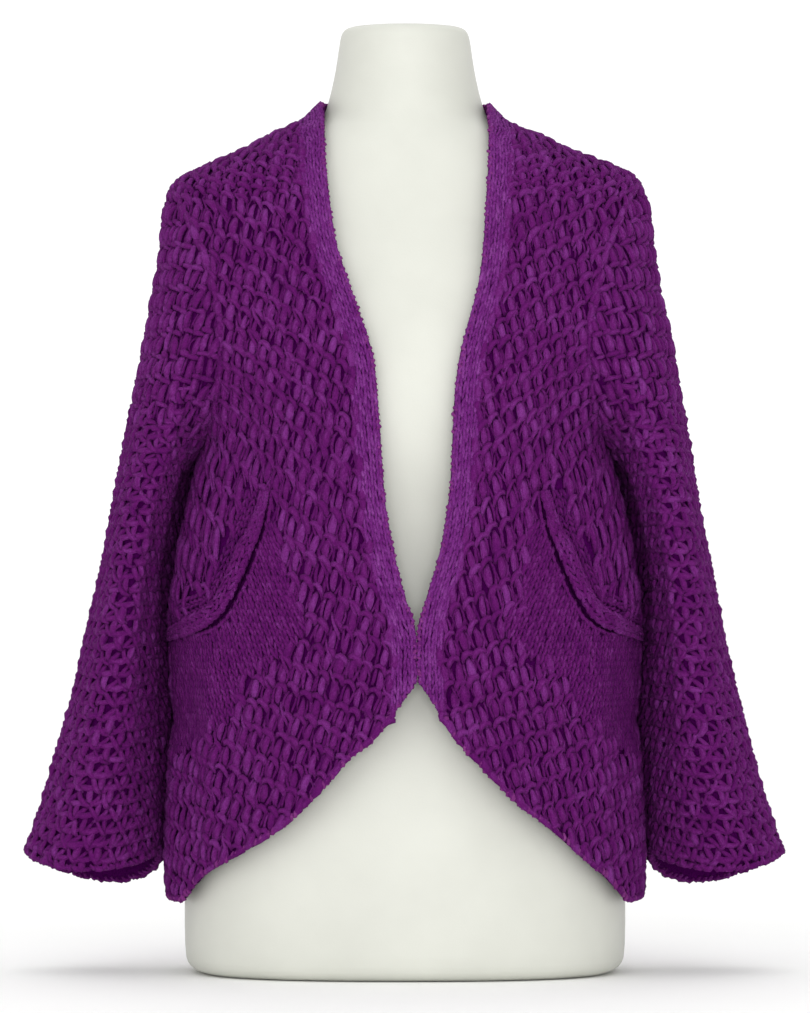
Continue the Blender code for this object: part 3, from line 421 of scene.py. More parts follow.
def inner_edge(height, side):
    """x of a front panel's inner boundary: the band's seam, then the cutaway edge."""
    sign = SIDES[side]
    seam = OPENING.at(side, np.maximum(height, FRONT_TIP_HEIGHT)) + sign * (BAND_WIDTH + 2 * SEAM_GAP)
    return np.where(height >= BAND_SEAM_END, seam, CUTAWAY.at(side, height))


def seam_top():
    """Height at which the bands' seams reach the shoulder ridge."""
    heights = np.linspace(SHOULDER_TIP[1], NECK_HEIGHT, 400)
    ridge = BODY_WIDTH.at("half_width", heights)
    seam = np.maximum(-OPENING.at("right", heights), OPENING.at("left", heights)) + BAND_WIDTH
    return float(heights[np.argmin(np.abs(ridge - seam))])


def path_length(path):
    """Length of a finely drawn path up to each of its points."""
    return np.concatenate(([0.0], np.cumsum(np.linalg.norm(np.diff(path, axis=0), axis=1))))


def path_share(path):
    """Share of a finely drawn path's length that lies before each of its points."""
    lengths = path_length(path)
    return lengths / lengths[-1]


def path_at(places, lengths, path):
    """Points of a path at lengths along it."""
    return np.stack([np.interp(places, lengths, path[:, i]) for i in range(3)], axis=-1)


def smooth_run(corners, count):
    """Evenly spaced ring angles and heights along a smooth curve through a few corners."""
    corners = np.array([(float(ring_angle(x, z, "front")), z) for x, z in corners])
    steps = np.hypot(np.diff(corners[:, 0]) * RING_RADIUS, np.diff(corners[:, 1]))
    chord = np.concatenate(([0.0], np.cumsum(steps)))
    run = Sections(("place", "angle", "height"), np.column_stack((chord, corners)))
    places = np.linspace(0.0, chord[-1], count)
    return np.stack((run.at("angle", places), run.at("height", places)), axis=-1)


def beside_pocket(count, offsets):
    """Ring angles and heights in rows along a pocket opening, at distances above it."""
    line = smooth_run(POCKET_LINE, count)
    scale = np.array((RING_RADIUS, 1.0))
    run = np.gradient(line * scale, axis=0)
    away = unit(np.stack((-run[:, 1], run[:, 0]), axis=-1))
    return line[:, None, :] + away[:, None, :] / scale * np.asarray(offsets)[None, :, None]


def inside_outline(outline, out, height):
    """Whether places lie inside a closed outline given by its corners."""
    found = np.zeros(np.shape(out), dtype=bool)
    for (x0, z0), (x1, z1) in zip(outline, np.roll(outline, -1, axis=0)):
        if z0 != z1:
            found ^= ((z0 > height) != (z1 > height)) & (out < x0 + (height - z0) * (x1 - x0) / (z1 - z0))
    return found


def read_grid(grid, row, column):
    """Value of a grid at places between its rows and columns."""
    row = np.clip(row, 0.0, grid.shape[0] - 1.001)
    column = np.clip(column, 0.0, grid.shape[1] - 1.001)
    r, c = row.astype(int), column.astype(int)
    down, over = row - r, column - c
    if grid.ndim == 3:
        down, over = down[..., None], over[..., None]
    upper = grid[r, c] * (1 - over) + grid[r, c + 1] * over
    lower = grid[r + 1, c] * (1 - over) + grid[r + 1, c + 1] * over
    return upper * (1 - down) + lower * down


# ----------------------------------------------------- places measured along the cloth


class BodyCloth:
    """The body's front or back, measured out along its rings and down by height."""

    LEVELS = np.linspace(0.05, 0.70, 201)
    REACH = np.linspace(0.0, 0.34, 341)
    ANGLES = np.linspace(0.0, math.pi / 2, 241)

    def __init__(self, face):
        self.face = face
        points = ring_point(*np.meshgrid(self.ANGLES, self.LEVELS), face)
        steps = np.linalg.norm(np.diff(points, axis=1), axis=-1)
        self.arc = np.concatenate((np.zeros((len(self.LEVELS), 1)), np.cumsum(steps, axis=1)), axis=1)
        self.angle = np.array([np.interp(self.REACH, row, self.ANGLES) for row in self.arc])

    def level(self, height):
        """Row of the tables at a height."""
        return (height - self.LEVELS[0]) / (self.LEVELS[1] - self.LEVELS[0])

    def angle_at(self, out, height):
        """Ring angle at a signed distance out along the cloth."""
        column = np.abs(out) / (self.REACH[1] - self.REACH[0])
        return np.sign(out) * read_grid(self.angle, self.level(height), column)

    def out_at(self, angle, height):
        """Distance out along the cloth at a ring angle."""
        column = np.abs(angle) / (math.pi / 2) * (len(self.ANGLES) - 1)
        return np.sign(angle) * read_grid(self.arc, self.level(height), column)

    def skin(self, out, height):
        """Outer skin and outward direction, held inside the armholes."""
        last = end_angle(height, self.face) - 0.004
        angle = np.clip(self.angle_at(out, height), -last, last)
        return folded_body(angle, height, self.face)


class SleeveCloth:
    """A sleeve, measured round from its outer line and down from the shoulder.

    The level of a place is its height without the cuff's droop, so courses run
    along the cuff.
    """

    LEVELS = np.linspace(CUFF_HEIGHT, SHOULDER_TIP[1] - 0.001, 161)
    REACH = np.linspace(0.0, 0.30, 301)

    def __init__(self, side):
        self.side = side
        cosine = np.clip((self.LEVELS - ARMHOLE_CENTRE[1]) / ARMHOLE_HALF[1], -1.0, 1.0)
        last = np.arccos(cosine)
        share = np.linspace(0.0, 1.0, 181)
        self.turn, self.length = {}, {}
        for way in (1.0, -1.0):
            turns = way * last[:, None] * share
            points = sleeve_point(turns, self.along(turns, self.LEVELS[:, None]), side)
            steps = np.linalg.norm(np.diff(points, axis=1), axis=-1)
            arc = np.concatenate((np.zeros((len(last), 1)), np.cumsum(steps, axis=1)), axis=1)
            self.turn[way] = np.array([np.interp(self.REACH, a, t) for a, t in zip(arc, turns)])
            self.length[way] = arc[:, -1]

    @staticmethod
    def along(turn, level):
        """Share of the sleeve's length at a turn and level."""
        start = ARMHOLE_CENTRE[1] + ARMHOLE_HALF[1] * np.cos(turn)
        return (start - level) / (start - CUFF_HEIGHT)

    def reach(self, way, level):
        """Distance round from the outer line to the armhole or to the inner seam."""
        return np.interp(level, self.LEVELS, self.length[way])

    def skin(self, out, level):
        """Outer skin and outward direction at a distance round and a level."""
        row = (level - self.LEVELS[0]) / (self.LEVELS[1] - self.LEVELS[0])
        column = np.abs(out) / (self.REACH[1] - self.REACH[0])
        turn = np.where(out >= 0, read_grid(self.turn[1.0], row, column),
                        read_grid(self.turn[-1.0], row, column))
        along = np.clip(self.along(turn, level), 0.004, 1.0)
        return folded_sleeve(turn, along, self.side)


# --------------------------------------------------------------------- mesh helpers


def colour(hex_value):
    """Linear RGBA of an sRGB hex colour."""
    parts = [int(hex_value[i:i + 2], 16) / 255.0 for i in (1, 3, 5)]
    return tuple(c / 12.92 if c <= 0.04045 else ((c + 0.055) / 1.055) ** 2.4 for c in parts) + (1.0,)


def new_piece(name, vertices, loops, counts, material, twist=None, tone=None):
    """A smooth-shaded object from points and the corner lists of its faces."""
    mesh = bpy.data.meshes.new(name)
    mesh.vertices.add(len(vertices))
    mesh.vertices.foreach_set("co", np.asarray(vertices, dtype=np.float32).ravel())
    mesh.loops.add(len(loops))
    mesh.loops.foreach_set("vertex_index", np.asarray(loops, dtype=np.int32))
    counts = np.asarray(counts, dtype=np.int32)
    mesh.polygons.add(len(counts))
    mesh.polygons.foreach_set("loop_start", np.concatenate(([0], np.cumsum(counts)[:-1])).astype(np.int32))
    mesh.update(calc_edges=True)
    mesh.validate()
    if twist is not None:
        attribute = mesh.attributes.new("yarn_turn", "FLOAT_VECTOR", "POINT")
        attribute.data.foreach_set("vector", np.asarray(twist, dtype=np.float32).ravel())
    if tone is not None:
        attribute = mesh.attributes.new("yarn_tone_and_shading", "FLOAT", "POINT")
        attribute.data.foreach_set("value", np.asarray(tone, dtype=np.float32).ravel())
    mesh.materials.append(material)
    mesh.shade_smooth()
    piece = bpy.data.objects.new(name, mesh)
    bpy.context.scene.collection.objects.link(piece)
    return piece


def shell(name, outer, inner, material, round_about=False):
    """A closed thin shell between two skins given as grids of points."""
    rows, columns = outer.shape[:2]
    points = np.concatenate((settled(outer).reshape(-1, 3), settled(inner).reshape(-1, 3)))
    index = np.arange(rows * columns).reshape(rows, columns)
    if round_about:
        index = np.concatenate((index, index[:, :1]), axis=1)
    under = index + rows * columns

    def squares(a, b, c, d):
        return np.stack((a, b, c, d), axis=-1).reshape(-1, 4)

    faces = [
        squares(index[:-1, :-1], index[:-1, 1:], index[1:, 1:], index[1:, :-1]),
        squares(under[:-1, :-1], under[1:, :-1], under[1:, 1:], under[:-1, 1:]),
        squares(under[0, :-1], under[0, 1:], index[0, 1:], index[0, :-1]),
        squares(index[-1, :-1], index[-1, 1:], under[-1, 1:], under[-1, :-1]),
    ]
    if not round_about:
        faces += [
            squares(index[:-1, 0], index[1:, 0], under[1:, 0], under[:-1, 0]),
            squares(under[:-1, -1], under[1:, -1], index[1:, -1], index[:-1, -1]),
        ]
    faces = np.concatenate(faces)
    corners = points[faces[:, :4]]
    volume = np.einsum("ij,ij->i", corners[:, 0], np.cross(corners[:, 1], corners[:, 2])).sum()
    volume += np.einsum("ij,ij->i", corners[:, 0], np.cross(corners[:, 2], corners[:, 3])).sum()
    if volume < 0:
        faces = faces[:, ::-1]
    return new_piece(name, points, faces.ravel(), np.full(len(faces), 4), material)


def strand_set(paths, normals, half_width, half_height, tone, sides):
    """Corner lists of many strands of yarn: one closed tube along each path.

    The tubes lie flat on the cloth: half_width is across and half_height out of it.
    """
    count, length = paths.shape[:2]
    tangents = unit(np.gradient(paths, axis=1))
    across = unit(np.cross(tangents, normals))
    out = unit(np.cross(across, tangents))
    turns = (np.arange(sides) + 0.5) / sides * 2.0 * math.pi
    ring = (paths[:, :, None, :]
            + across[:, :, None, :] * (half_width[..., None] * np.cos(turns))[..., None]
            + out[:, :, None, :] * (half_height[..., None] * np.sin(turns))[..., None])
    vertices = ring.reshape(-1, 3)
    run = np.linalg.norm(np.diff(paths, axis=1), axis=-1)
    run = np.concatenate((np.zeros((count, 1)), np.cumsum(run, axis=1)), axis=1)
    twist = np.stack(np.broadcast_arrays(np.cos(turns), np.sin(turns), run[..., None] * 100.0), axis=-1)
    tones = np.broadcast_to(tone[:, None, None], (count, length, sides))
    index = np.arange(count * length * sides).reshape(count, length, sides)
    ahead = np.roll(index, -1, axis=2)
    walls = np.stack((index[:, :-1], index[:, 1:], ahead[:, 1:], ahead[:, :-1]), axis=-1).reshape(-1, 4)
    starts, ends = index[:, 0, :], index[:, -1, ::-1]
    return {"vertices": vertices, "twist": twist.reshape(-1, 3), "tone": tones.reshape(-1),
            "walls": walls, "caps": np.concatenate((starts, ends)), "sides": sides}


def stitches(name, sets, material):
    """One piece from several sets of strands."""
    loops, counts, base = [], [], 0
    for part in sets:
        loops += [(part["walls"] + base).ravel(), (part["caps"] + base).ravel()]
        counts += [np.full(len(part["walls"]), 4), np.full(len(part["caps"]), part["sides"])]
        base += len(part["vertices"])
    vertices, twist, tone = (np.concatenate([part[key] for part in sets])
                             for key in ("vertices", "twist", "tone"))
    return new_piece(name, vertices, np.concatenate(loops), np.concatenate(counts), material, twist, tone)


# Unevenness of hand knitting: how far strands rise or sink, and how thick they are as
# shares of the yarn, from one strand to the next and along a strand.
LIFT_SPREAD = 0.00022
YARN_SPREAD = 0.12
ALONG_SPREAD = 0.07
# The same for the yarn over an edge: its place as a share of the pitch, its reach, its yarn.
WRAP_PLACE_SPREAD = 0.13
WRAP_REACH_SPREAD = 0.0004
WRAP_YARN_SPREAD = 0.10


def laid_strands(place, cells, path, half_width, half_height, sides, spread, seed, painted_shading=0.0):
    """Strands of one kind, one for each cell; their painted shading makes them lighter (+) or darker (-).

    path has rows of (across, down, lift in millimetres, share of the full width) in the
    cell's own measure, and place turns measures across and down into skin and direction.
    spread is how far a strand strays from its place, as a share of a cell.
    """
    rng = np.random.default_rng(seed)
    path = np.array(path, dtype=float)
    count, length = len(cells), len(path)
    wander = rng.normal(0.0, spread, (count, 2))
    bend = rng.normal(0.0, spread, (count, 2))
    bow = rng.normal(0.0, spread * 1.2, (count, 1))
    ease = np.linspace(-1.0, 1.0, length)
    across = cells[:, 0:1] + path[:, 0] + wander[:, 0:1] + bend[:, 0:1] * ease + bow * (0.5 - ease**2)
    down = cells[:, 1:2] + path[:, 1] + wander[:, 1:2] + bend[:, 1:2] * ease * 0.5
    skin, normals = place(across, down)
    lift = path[:, 2] * 0.001 + rng.normal(0.0, LIFT_SPREAD, (count, 1))
    centre = settled(skin + lift[..., None] * normals)
    fat = rng.normal(1.0, YARN_SPREAD, (count, 1)).clip(0.7, 1.3) * path[:, 3]
    fat = fat * rng.normal(1.0, ALONG_SPREAD, (count, length)).clip(0.85, 1.15)
    # Each strand's lightness: a random tone of the yarn plus painted shade, darker for strands that lie
    # deep or face away from the light, lighter for proud ones.
    tone = rng.normal(0.0, 1.0, count).clip(-2.0, 2.0) + painted_shading
    return strand_set(centre, normals, half_width * fat, half_height * fat, tone, sides)


def edge_wraps(name, edge, normals, toward, pitch, width, material, seed, inset=0.0):
    """Yarn that wraps over an edge of the cloth, one short strand at each step along it.

    toward points roughly from the edge into the cloth.
    """
    rng = np.random.default_rng(seed)
    length = path_length(edge)
    tangents = unit(np.gradient(edge, axis=0))
    inward = unit(np.cross(normals, tangents))
    inward = inward * np.where((inward * toward).sum(axis=-1) < 0, -1.0, 1.0)[:, None]
    path = np.array(EDGE_WRAP)
    count = int(length[-1] / pitch)
    centre = (np.arange(count) + 0.5) * length[-1] / count
    centre = centre + rng.normal(0.0, pitch * WRAP_PLACE_SPREAD, count)
    at = centre[:, None] + path[:, 0] * pitch
    reach = path[:, 1] * 0.001 + rng.normal(0.0, WRAP_REACH_SPREAD, (count, 1)) + inset
    lift = path[:, 2] * 0.001 + 0.0 * at
    facing, into = unit(path_at(at, length, normals)), path_at(at, length, inward)
    points = path_at(at, length, edge) + into * reach[..., None] + facing * lift[..., None]
    out = unit(facing * 0.8 - into)
    fat = rng.normal(1.0, WRAP_YARN_SPREAD, (count, 1)).clip(0.75, 1.25) * path[:, 3]
    tone = rng.normal(0.0, 1.0, count).clip(-2.0, 2.0)
    wraps = strand_set(settled(points), out, width / 2 * fat, width / 2 * 0.8 * fat, tone, 5)
    return stitches(name, [wraps], material)


# ------------------------------------------------------------------ stitch patterns

# Rows of (across, down, lift in millimetres, share of the full width) in measures of one
# stitch; on the body, across grows away from the middle of the garment.  An edge's strands
# have millimetres into the cloth in place of down.
HELD_LOOP = ((0.05, -0.50, -2.4, 0.40), (0.03, -0.32, -0.8, 0.86), (0.01, -0.10, 0.1, 1.12),
             (-0.01, 0.12, 0.0, 1.12), (-0.03, 0.32, -0.9, 0.84), (-0.04, 0.48, -2.4, 0.40))
PURL_BUMP = ((0.54, 0.58, -2.4, 0.60), (0.38, 0.44, -0.9, 0.98), (0.12, 0.38, 0.0, 1.16),
             (-0.14, 0.44, 0.0, 1.16), (-0.36, 0.58, -0.8, 1.00), (-0.50, 0.78, -2.3, 0.60))
LONG_SLANT = ((0.62, 0.06, -1.6, 0.60), (0.40, 0.32, -0.5, 0.95), (0.10, 0.56, -0.3, 1.00),
              (-0.18, 0.74, -0.5, 0.95), (-0.40, 0.98, -1.8, 0.60))
NEAR_ARM = ((0.34, -0.48, -2.0, 0.70), (0.40, -0.16, -1.2, 1.00), (0.36, 0.14, -1.3, 1.00),
            (0.26, 0.42, -2.2, 0.70))
FAR_ARM = ((0.58, -0.34, -2.2, 0.70), (0.56, -0.04, -1.6, 1.00), (0.64, 0.24, -1.5, 1.00),
           (0.74, 0.50, -2.2, 0.70))
CELL_BAR = ((0.03, -0.74, -2.3, 0.50), (0.02, -0.44, -0.5, 1.00), (0.00, -0.08, 0.6, 1.16),
            (-0.02, 0.26, -0.1, 0.96), (-0.03, 0.56, -2.0, 0.45))
CELL_LEFT = ((-0.46, -0.52, -2.4, 0.60), (-0.36, -0.16, -1.1, 1.00), (-0.26, 0.18, -0.1, 1.12),
             (-0.10, 0.50, 0.1, 1.08), (0.14, 0.74, -1.9, 0.60))
CELL_RIGHT = ((0.50, -0.34, -2.4, 0.60), (0.38, -0.02, -1.0, 1.00), (0.24, 0.24, -0.5, 1.10),
              (0.12, 0.48, -1.0, 0.95), (0.02, 0.70, -2.2, 0.60))
CELL_TOP = ((-0.54, -0.80, -2.2, 0.60), (-0.30, -0.62, -0.8, 1.00), (-0.02, -0.58, 0.0, 1.16),
            (0.26, -0.70, -0.8, 1.00), (0.50, -0.92, -2.2, 0.60))
TOP_LOOP = ((0.02, -0.96, -2.3, 0.45), (0.01, -0.62, -0.9, 0.90), (0.00, -0.20, -0.1, 1.12),
            (0.00, 0.22, -0.1, 1.12), (-0.01, 0.62, -0.9, 0.86), (-0.02, 0.94, -2.3, 0.45))
TOP_BUMP = ((-0.34, 0.76, -2.2, 0.60), (-0.20, 0.80, -0.9, 0.95), (-0.02, 0.88, -0.1, 1.12),
            (0.16, 1.00, -0.8, 0.95), (0.32, 1.18, -2.2, 0.60))
TOP_NEAR = ((0.18, -0.90, -2.0, 0.70), (0.21, -0.32, -1.3, 1.00), (0.19, 0.28, -1.3, 1.00),
            (0.14, 0.84, -2.0, 0.70))
TOP_FAR = ((0.32, -0.66, -2.2, 0.70), (0.30, -0.10, -1.6, 1.00), (0.34, 0.44, -1.5, 1.00),
           (0.38, 0.96, -2.2, 0.70))
EDGE_WRAP = ((-0.62, 2.9, -0.9, 0.70), (-0.30, 0.9, 0.1, 1.00), (0.00, -0.5, -1.2, 1.10),
             (0.30, 0.8, -3.2, 0.95), (0.55, 2.4, -4.0, 0.60))
SEAM_LOOP = ((0.30, -0.95, -2.0, 0.45), (0.10, -0.50, -0.7, 0.90), (0.00, 0.00, -0.4, 1.10),
             (-0.05, 0.50, -0.7, 0.90), (-0.30, 0.95, -2.0, 0.45))
BINDING = ((0.0, -0.70, -1.6, 0.70), (0.06, -0.35, -0.5, 1.00), (0.0, 0.0, -0.2, 1.08),
           (-0.06, 0.35, -0.5, 1.00), (0.0, 0.70, -1.6, 0.70))
# The same yarn drawn 1.2 mm into a seam.
SEAM_BINDING = tuple((row[0], row[1], row[2] - 1.2, row[3]) for row in BINDING)
STOCKING_LEG = ((0.44, -0.62, -1.2, 0.65), (0.36, -0.26, -0.1, 1.00), (0.24, 0.14, 0.15, 1.00),
                (0.10, 0.52, -0.5, 0.80), (0.03, 0.78, -1.3, 0.50))
# Stitches of a strip that is a little stretched along its length.
LONG_LEG = tuple((0.88 * row[0], 1.30 * row[1], row[2], row[3]) for row in STOCKING_LEG)

# What is laid in each cell: the yarn, its path, its half width and half height as shares of
# half the yarn's width, the sides of its tube, its unevenness, its own random seed on top of
# the piece's, and its painted shade: lighter for the proud loops and bumps, darker for the
# strands that lie deep or face away from the light.
BACK_STRANDS = (
    ("held_loop", HELD_LOOP, 1.10, 0.80, 5, 0.068, 0, 0.8),
    ("slant", PURL_BUMP, 1.50, 1.16, 5, 0.066, 1, 0.3),
    ("slant", NEAR_ARM, 1.02, 0.86, 4, 0.066, 3, -0.9))
FRONT_STRANDS = (
    ("held_loop", HELD_LOOP, 1.10, 0.80, 6, 0.068, 0, 0.8),
    ("slant", PURL_BUMP, 1.50, 1.16, 5, 0.066, 1, 0.3),
    ("slant", NEAR_ARM, 1.02, 0.86, 4, 0.066, 3, -0.9),
    ("slant", FAR_ARM, 0.94, 0.80, 4, 0.066, 2, -1.3))
# On the fronts a little over half of the stitches have a long strand crossed over them too.
CROSSED_STRANDS = (("slant", LONG_SLANT, 0.88, 0.80, 5, 0.060, 4, 0.0),)
CROSSED_SHARE = 0.55
LOW_SLEEVE_STRANDS = (
    ("cell_yarn", CELL_BAR, 1.20, 0.98, 5, 0.055, 51, 0.5),
    ("cell_yarn", CELL_LEFT, 1.22, 0.98, 4, 0.055, 55, -0.4),
    ("cell_yarn", CELL_RIGHT, 1.16, 0.90, 4, 0.055, 59, -0.9),
    ("cell_yarn", CELL_TOP, 1.24, 1.04, 5, 0.055, 63, 0.2))
TOP_SLEEVE_STRANDS = (
    ("held_loop", TOP_LOOP, 1.08, 0.80, 6, 0.070, 52, 0.8),
    ("slant", TOP_BUMP, 1.50, 1.16, 5, 0.075, 56, 0.3),
    ("slant", TOP_NEAR, 1.00, 0.84, 4, 0.070, 60, -0.9),
    ("slant", TOP_FAR, 0.82, 0.72, 4, 0.060, 66, -1.4))


def mirrored(path):
    """A stitch path with its left and right changed over."""
    return tuple((-row[0],) + tuple(row[1:]) for row in path)


def strands_of(kinds, place, cells, half_yarns, seed):
    """Strands of several kinds, each kind once in every cell."""
    return [laid_strands(place, cells, path, half_yarns[yarn] * wide, half_yarns[yarn] * high, sides,
                         spread, seed + own_seed, painted_shading)
            for yarn, path, wide, high, sides, spread, own_seed, painted_shading in kinds]


def stocking_strands(place, cells, leg, half_yarn, high, sides, spread, seed, painted_leg_shading=(0.0, 0.0)):
    """Both legs of every stocking stitch; high is their height as a share of their width, and each leg has
    its own painted shading.
    """
    return [laid_strands(place, cells, path, half_yarn, half_yarn * high, sides, spread,
                         seed + 2 * i, painted_leg_shading[i])
            for i, path in enumerate((leg, mirrored(leg)))]


def lattice_cells(across, down, shift=0.0):
    """Numbers of the cells of a knit; shift moves every other course over."""
    return np.array([(a + shift * (d % 2), d) for d in range(*down) for a in range(*across)],
                    dtype=float)


def middle_cells(wales, courses):
    """Middles of the stitches of a plain strip of knitting, course after course."""
    return np.array([(w + 0.5, d + 0.5) for d in range(courses) for w in range(wales)])


def course_rise(out):
    """Distance that a course climbs with, which flattens away from the middle.

    It is rounded at the middle, then a parabola up to 0.25 m out, and straight past that.
    """
    out = np.hypot(out, 0.02) - 0.02
    return np.where(out < 0.25, 1.35 * out - 2.2 * out**2, 0.2 + 0.25 * (out - 0.25))


def over_shoulder(height):
    """Heights drawn closer above the shoulder, where the cloth lies nearly flat."""
    start = SHOULDER_TIP[1] - 0.010
    return np.where(height > start, start + 0.50 * (height - start), height)


def body_place(hang, sign, knit):
    """Turns a body stitch's numbers into distance out along the cloth and height.

    Past the tenth wale or so the knitting is stretched sideways by the weight of the sleeve.
    """
    stretched_from, stretch, ease = 10.5, 0.15, 2.0

    def measure(across, down):
        past = across - stretched_from
        across = across + stretch * (np.hypot(past, ease) + past)
        row = LATTICE_TOP - knit.body_course * down
        height = np.clip(row, HEM_HEIGHT, LATTICE_TOP)
        for _ in range(16):
            out = across * knit.body_wale + hang.at("lean", height)
            risen = row + hang.at("slope", height) * course_rise(out)
            height = over_shoulder(risen).clip(0.02, LATTICE_TOP)
        return sign * out, height

    return measure


def body_cells(measure, limits, left_out=None):
    """Cells of the body's knitting that lie inside a panel and outside what is left out."""
    cells = lattice_cells((-16, 32), (-12, 36))
    out, height = measure(cells[:, 0], cells[:, 1])
    low, high = limits(height)
    margin = 0.006
    inside = (out > low - margin) & (out < high + margin) & (low < high)
    if left_out is not None:
        inside &= ~left_out(np.abs(out), height)
    return cells[inside & (height > HEM_HEIGHT - 0.004) & (height < seam_top() + 0.003)]


def body_strands(cloth, measure, cells, limits, kinds, half_yarns, seed):
    """Held loops with bumps and arms between them, kept inside a panel."""

    def place(across, down):
        at_out, at_height = measure(across, down)
        at_height = np.clip(at_height, HEM_HEIGHT + 0.001, seam_top() - 0.001)
        first, last = limits(at_height)
        return cloth.skin(np.clip(at_out, first, np.maximum(first, last)), at_height)

    sets = strands_of(kinds, place, cells, half_yarns, seed)
    if kinds is FRONT_STRANDS:
        crossed = cells[np.random.default_rng(seed + 5).random(len(cells)) < CROSSED_SHARE]
        sets += strands_of(CROSSED_STRANDS, place, crossed, half_yarns, seed)
    return sets


# --------------------------------------------------------------------------- materials


def add_node(tree, kind, settings=None, links=None):
    """Adds a node with its settings; links gives what feeds each of its inputs."""
    node = tree.nodes.new(kind)
    for key, value in (settings or {}).items():
        if isinstance(key, str) and hasattr(node, key):
            setattr(node, key, value)
        else:
            node.inputs[key].default_value = value
    for socket, source in (links or {}).items():
        tree.links.new(source, node.inputs[socket])
    return node


def new_material(name, roughness, ior=1.5):
    """An empty Principled material and its tree and shader."""
    material = bpy.data.materials.new(name)
    material.use_nodes = True
    tree = material.node_tree
    shader = tree.nodes["Principled BSDF"]
    shader.inputs["Roughness"].default_value = roughness
    shader.inputs["IOR"].default_value = ior
    return material, tree, shader


def ramp(node, stops):
    """Sets a colour ramp's stops."""
    elements = node.color_ramp.elements
    elements[0].position, elements[0].color = stops[0]
    elements[1].position, elements[1].color = stops[-1]
    for position, value in stops[1:-1]:
        elements.new(position).color = value


def yarn_material(name, low, middle, high, fuzz):
    """Chunky brushed yarn: two plies with a soft twist and short fibres that stand out of it.

    The plies give a faint slanting ripple, the dye takes a little unevenly from strand
    to strand, and the loose fibres make the edges of a strand look lighter.  Each strand
    also carries painted shading, darker where it lies deep in the knit and lighter where it
    stands proud.
    """
    material, tree, shader = new_material(name, 0.88, 1.54)
    turn = add_node(tree, "ShaderNodeAttribute", {"attribute_name": "yarn_turn"})
    tone = add_node(tree, "ShaderNodeAttribute", {"attribute_name": "yarn_tone_and_shading"})
    place = add_node(tree, "ShaderNodeTexCoord")
    parts = add_node(tree, "ShaderNodeSeparateXYZ", links={"Vector": turn.outputs["Vector"]})
    angle = add_node(tree, "ShaderNodeMath", {"operation": "ARCTAN2"},
                     {0: parts.outputs["Y"], 1: parts.outputs["X"]})
    # The third part of yarn_turn is in centimetres; a ply goes round once in 7 mm.
    spiral = add_node(tree, "ShaderNodeMath", {"operation": "MULTIPLY_ADD", 1: 18.0},
                      {0: parts.outputs["Z"]})
    tree.links.new(add_node(tree, "ShaderNodeMath", {"operation": "MULTIPLY", 1: 2.0},
                            {0: angle.outputs[0]}).outputs[0], spiral.inputs[2])
    plies = add_node(tree, "ShaderNodeMath", {"operation": "SINE"}, {0: spiral.outputs[0]})
    # Fibres about 0.3 mm thick, drawn coarse enough to show; blotches of dye about 12 mm.
    fibres = add_node(tree, "ShaderNodeTexNoise", {"Scale": 1400.0, "Detail": 2.0, "Roughness": 0.6},
                      {"Vector": place.outputs["Object"]})
    dye = add_node(tree, "ShaderNodeTexNoise", {"Scale": 80.0, "Detail": 3.0, "Roughness": 0.55},
                   {"Vector": place.outputs["Object"]})
    # Streaks that run with the yarn, a few to each side of it.
    streaks = add_node(tree, "ShaderNodeTexNoise", {"Scale": 2.4, "Detail": 3.0, "Roughness": 0.65},
                       {"Vector": turn.outputs["Vector"]})
    # Each strand's random tone and painted shade, then fibres, dye and streaks, set its place on the ramp.
    mixed = add_node(tree, "ShaderNodeMath", {"operation": "MULTIPLY_ADD", 1: 0.05, 2: -0.14},
                     {0: tone.outputs["Fac"]})
    for texture, share in ((fibres, 0.44), (dye, 0.36), (streaks, 0.48)):
        mixed = add_node(tree, "ShaderNodeMath", {"operation": "MULTIPLY_ADD", 1: share},
                         {0: texture.outputs["Fac"], 2: mixed.outputs[0]})
    blend = add_node(tree, "ShaderNodeValToRGB", links={"Fac": mixed.outputs[0]})
    ramp(blend, ((0.22, colour(low)), (0.50, colour(middle)), (0.80, colour(high))))
    tree.links.new(blend.outputs["Color"], shader.inputs["Base Color"])
    relief = add_node(tree, "ShaderNodeMath", {"operation": "MULTIPLY_ADD", 1: 0.30},
                      {0: plies.outputs[0], 2: fibres.outputs["Fac"]})
    relief = add_node(tree, "ShaderNodeMath", {"operation": "MULTIPLY_ADD", 1: 1.2},
                      {0: streaks.outputs["Fac"], 2: relief.outputs[0]})
    bump = add_node(tree, "ShaderNodeBump", {"Strength": 0.75, "Distance": 0.0008},
                    {"Height": relief.outputs[0]})
    tree.links.new(bump.outputs["Normal"], shader.inputs["Normal"])
    shader.inputs["Specular IOR Level"].default_value = 0.05
    shader.inputs["Sheen Weight"].default_value = fuzz
    shader.inputs["Sheen Roughness"].default_value = 0.55
    shader.inputs["Sheen Tint"].default_value = colour("#b070ba")
    return material


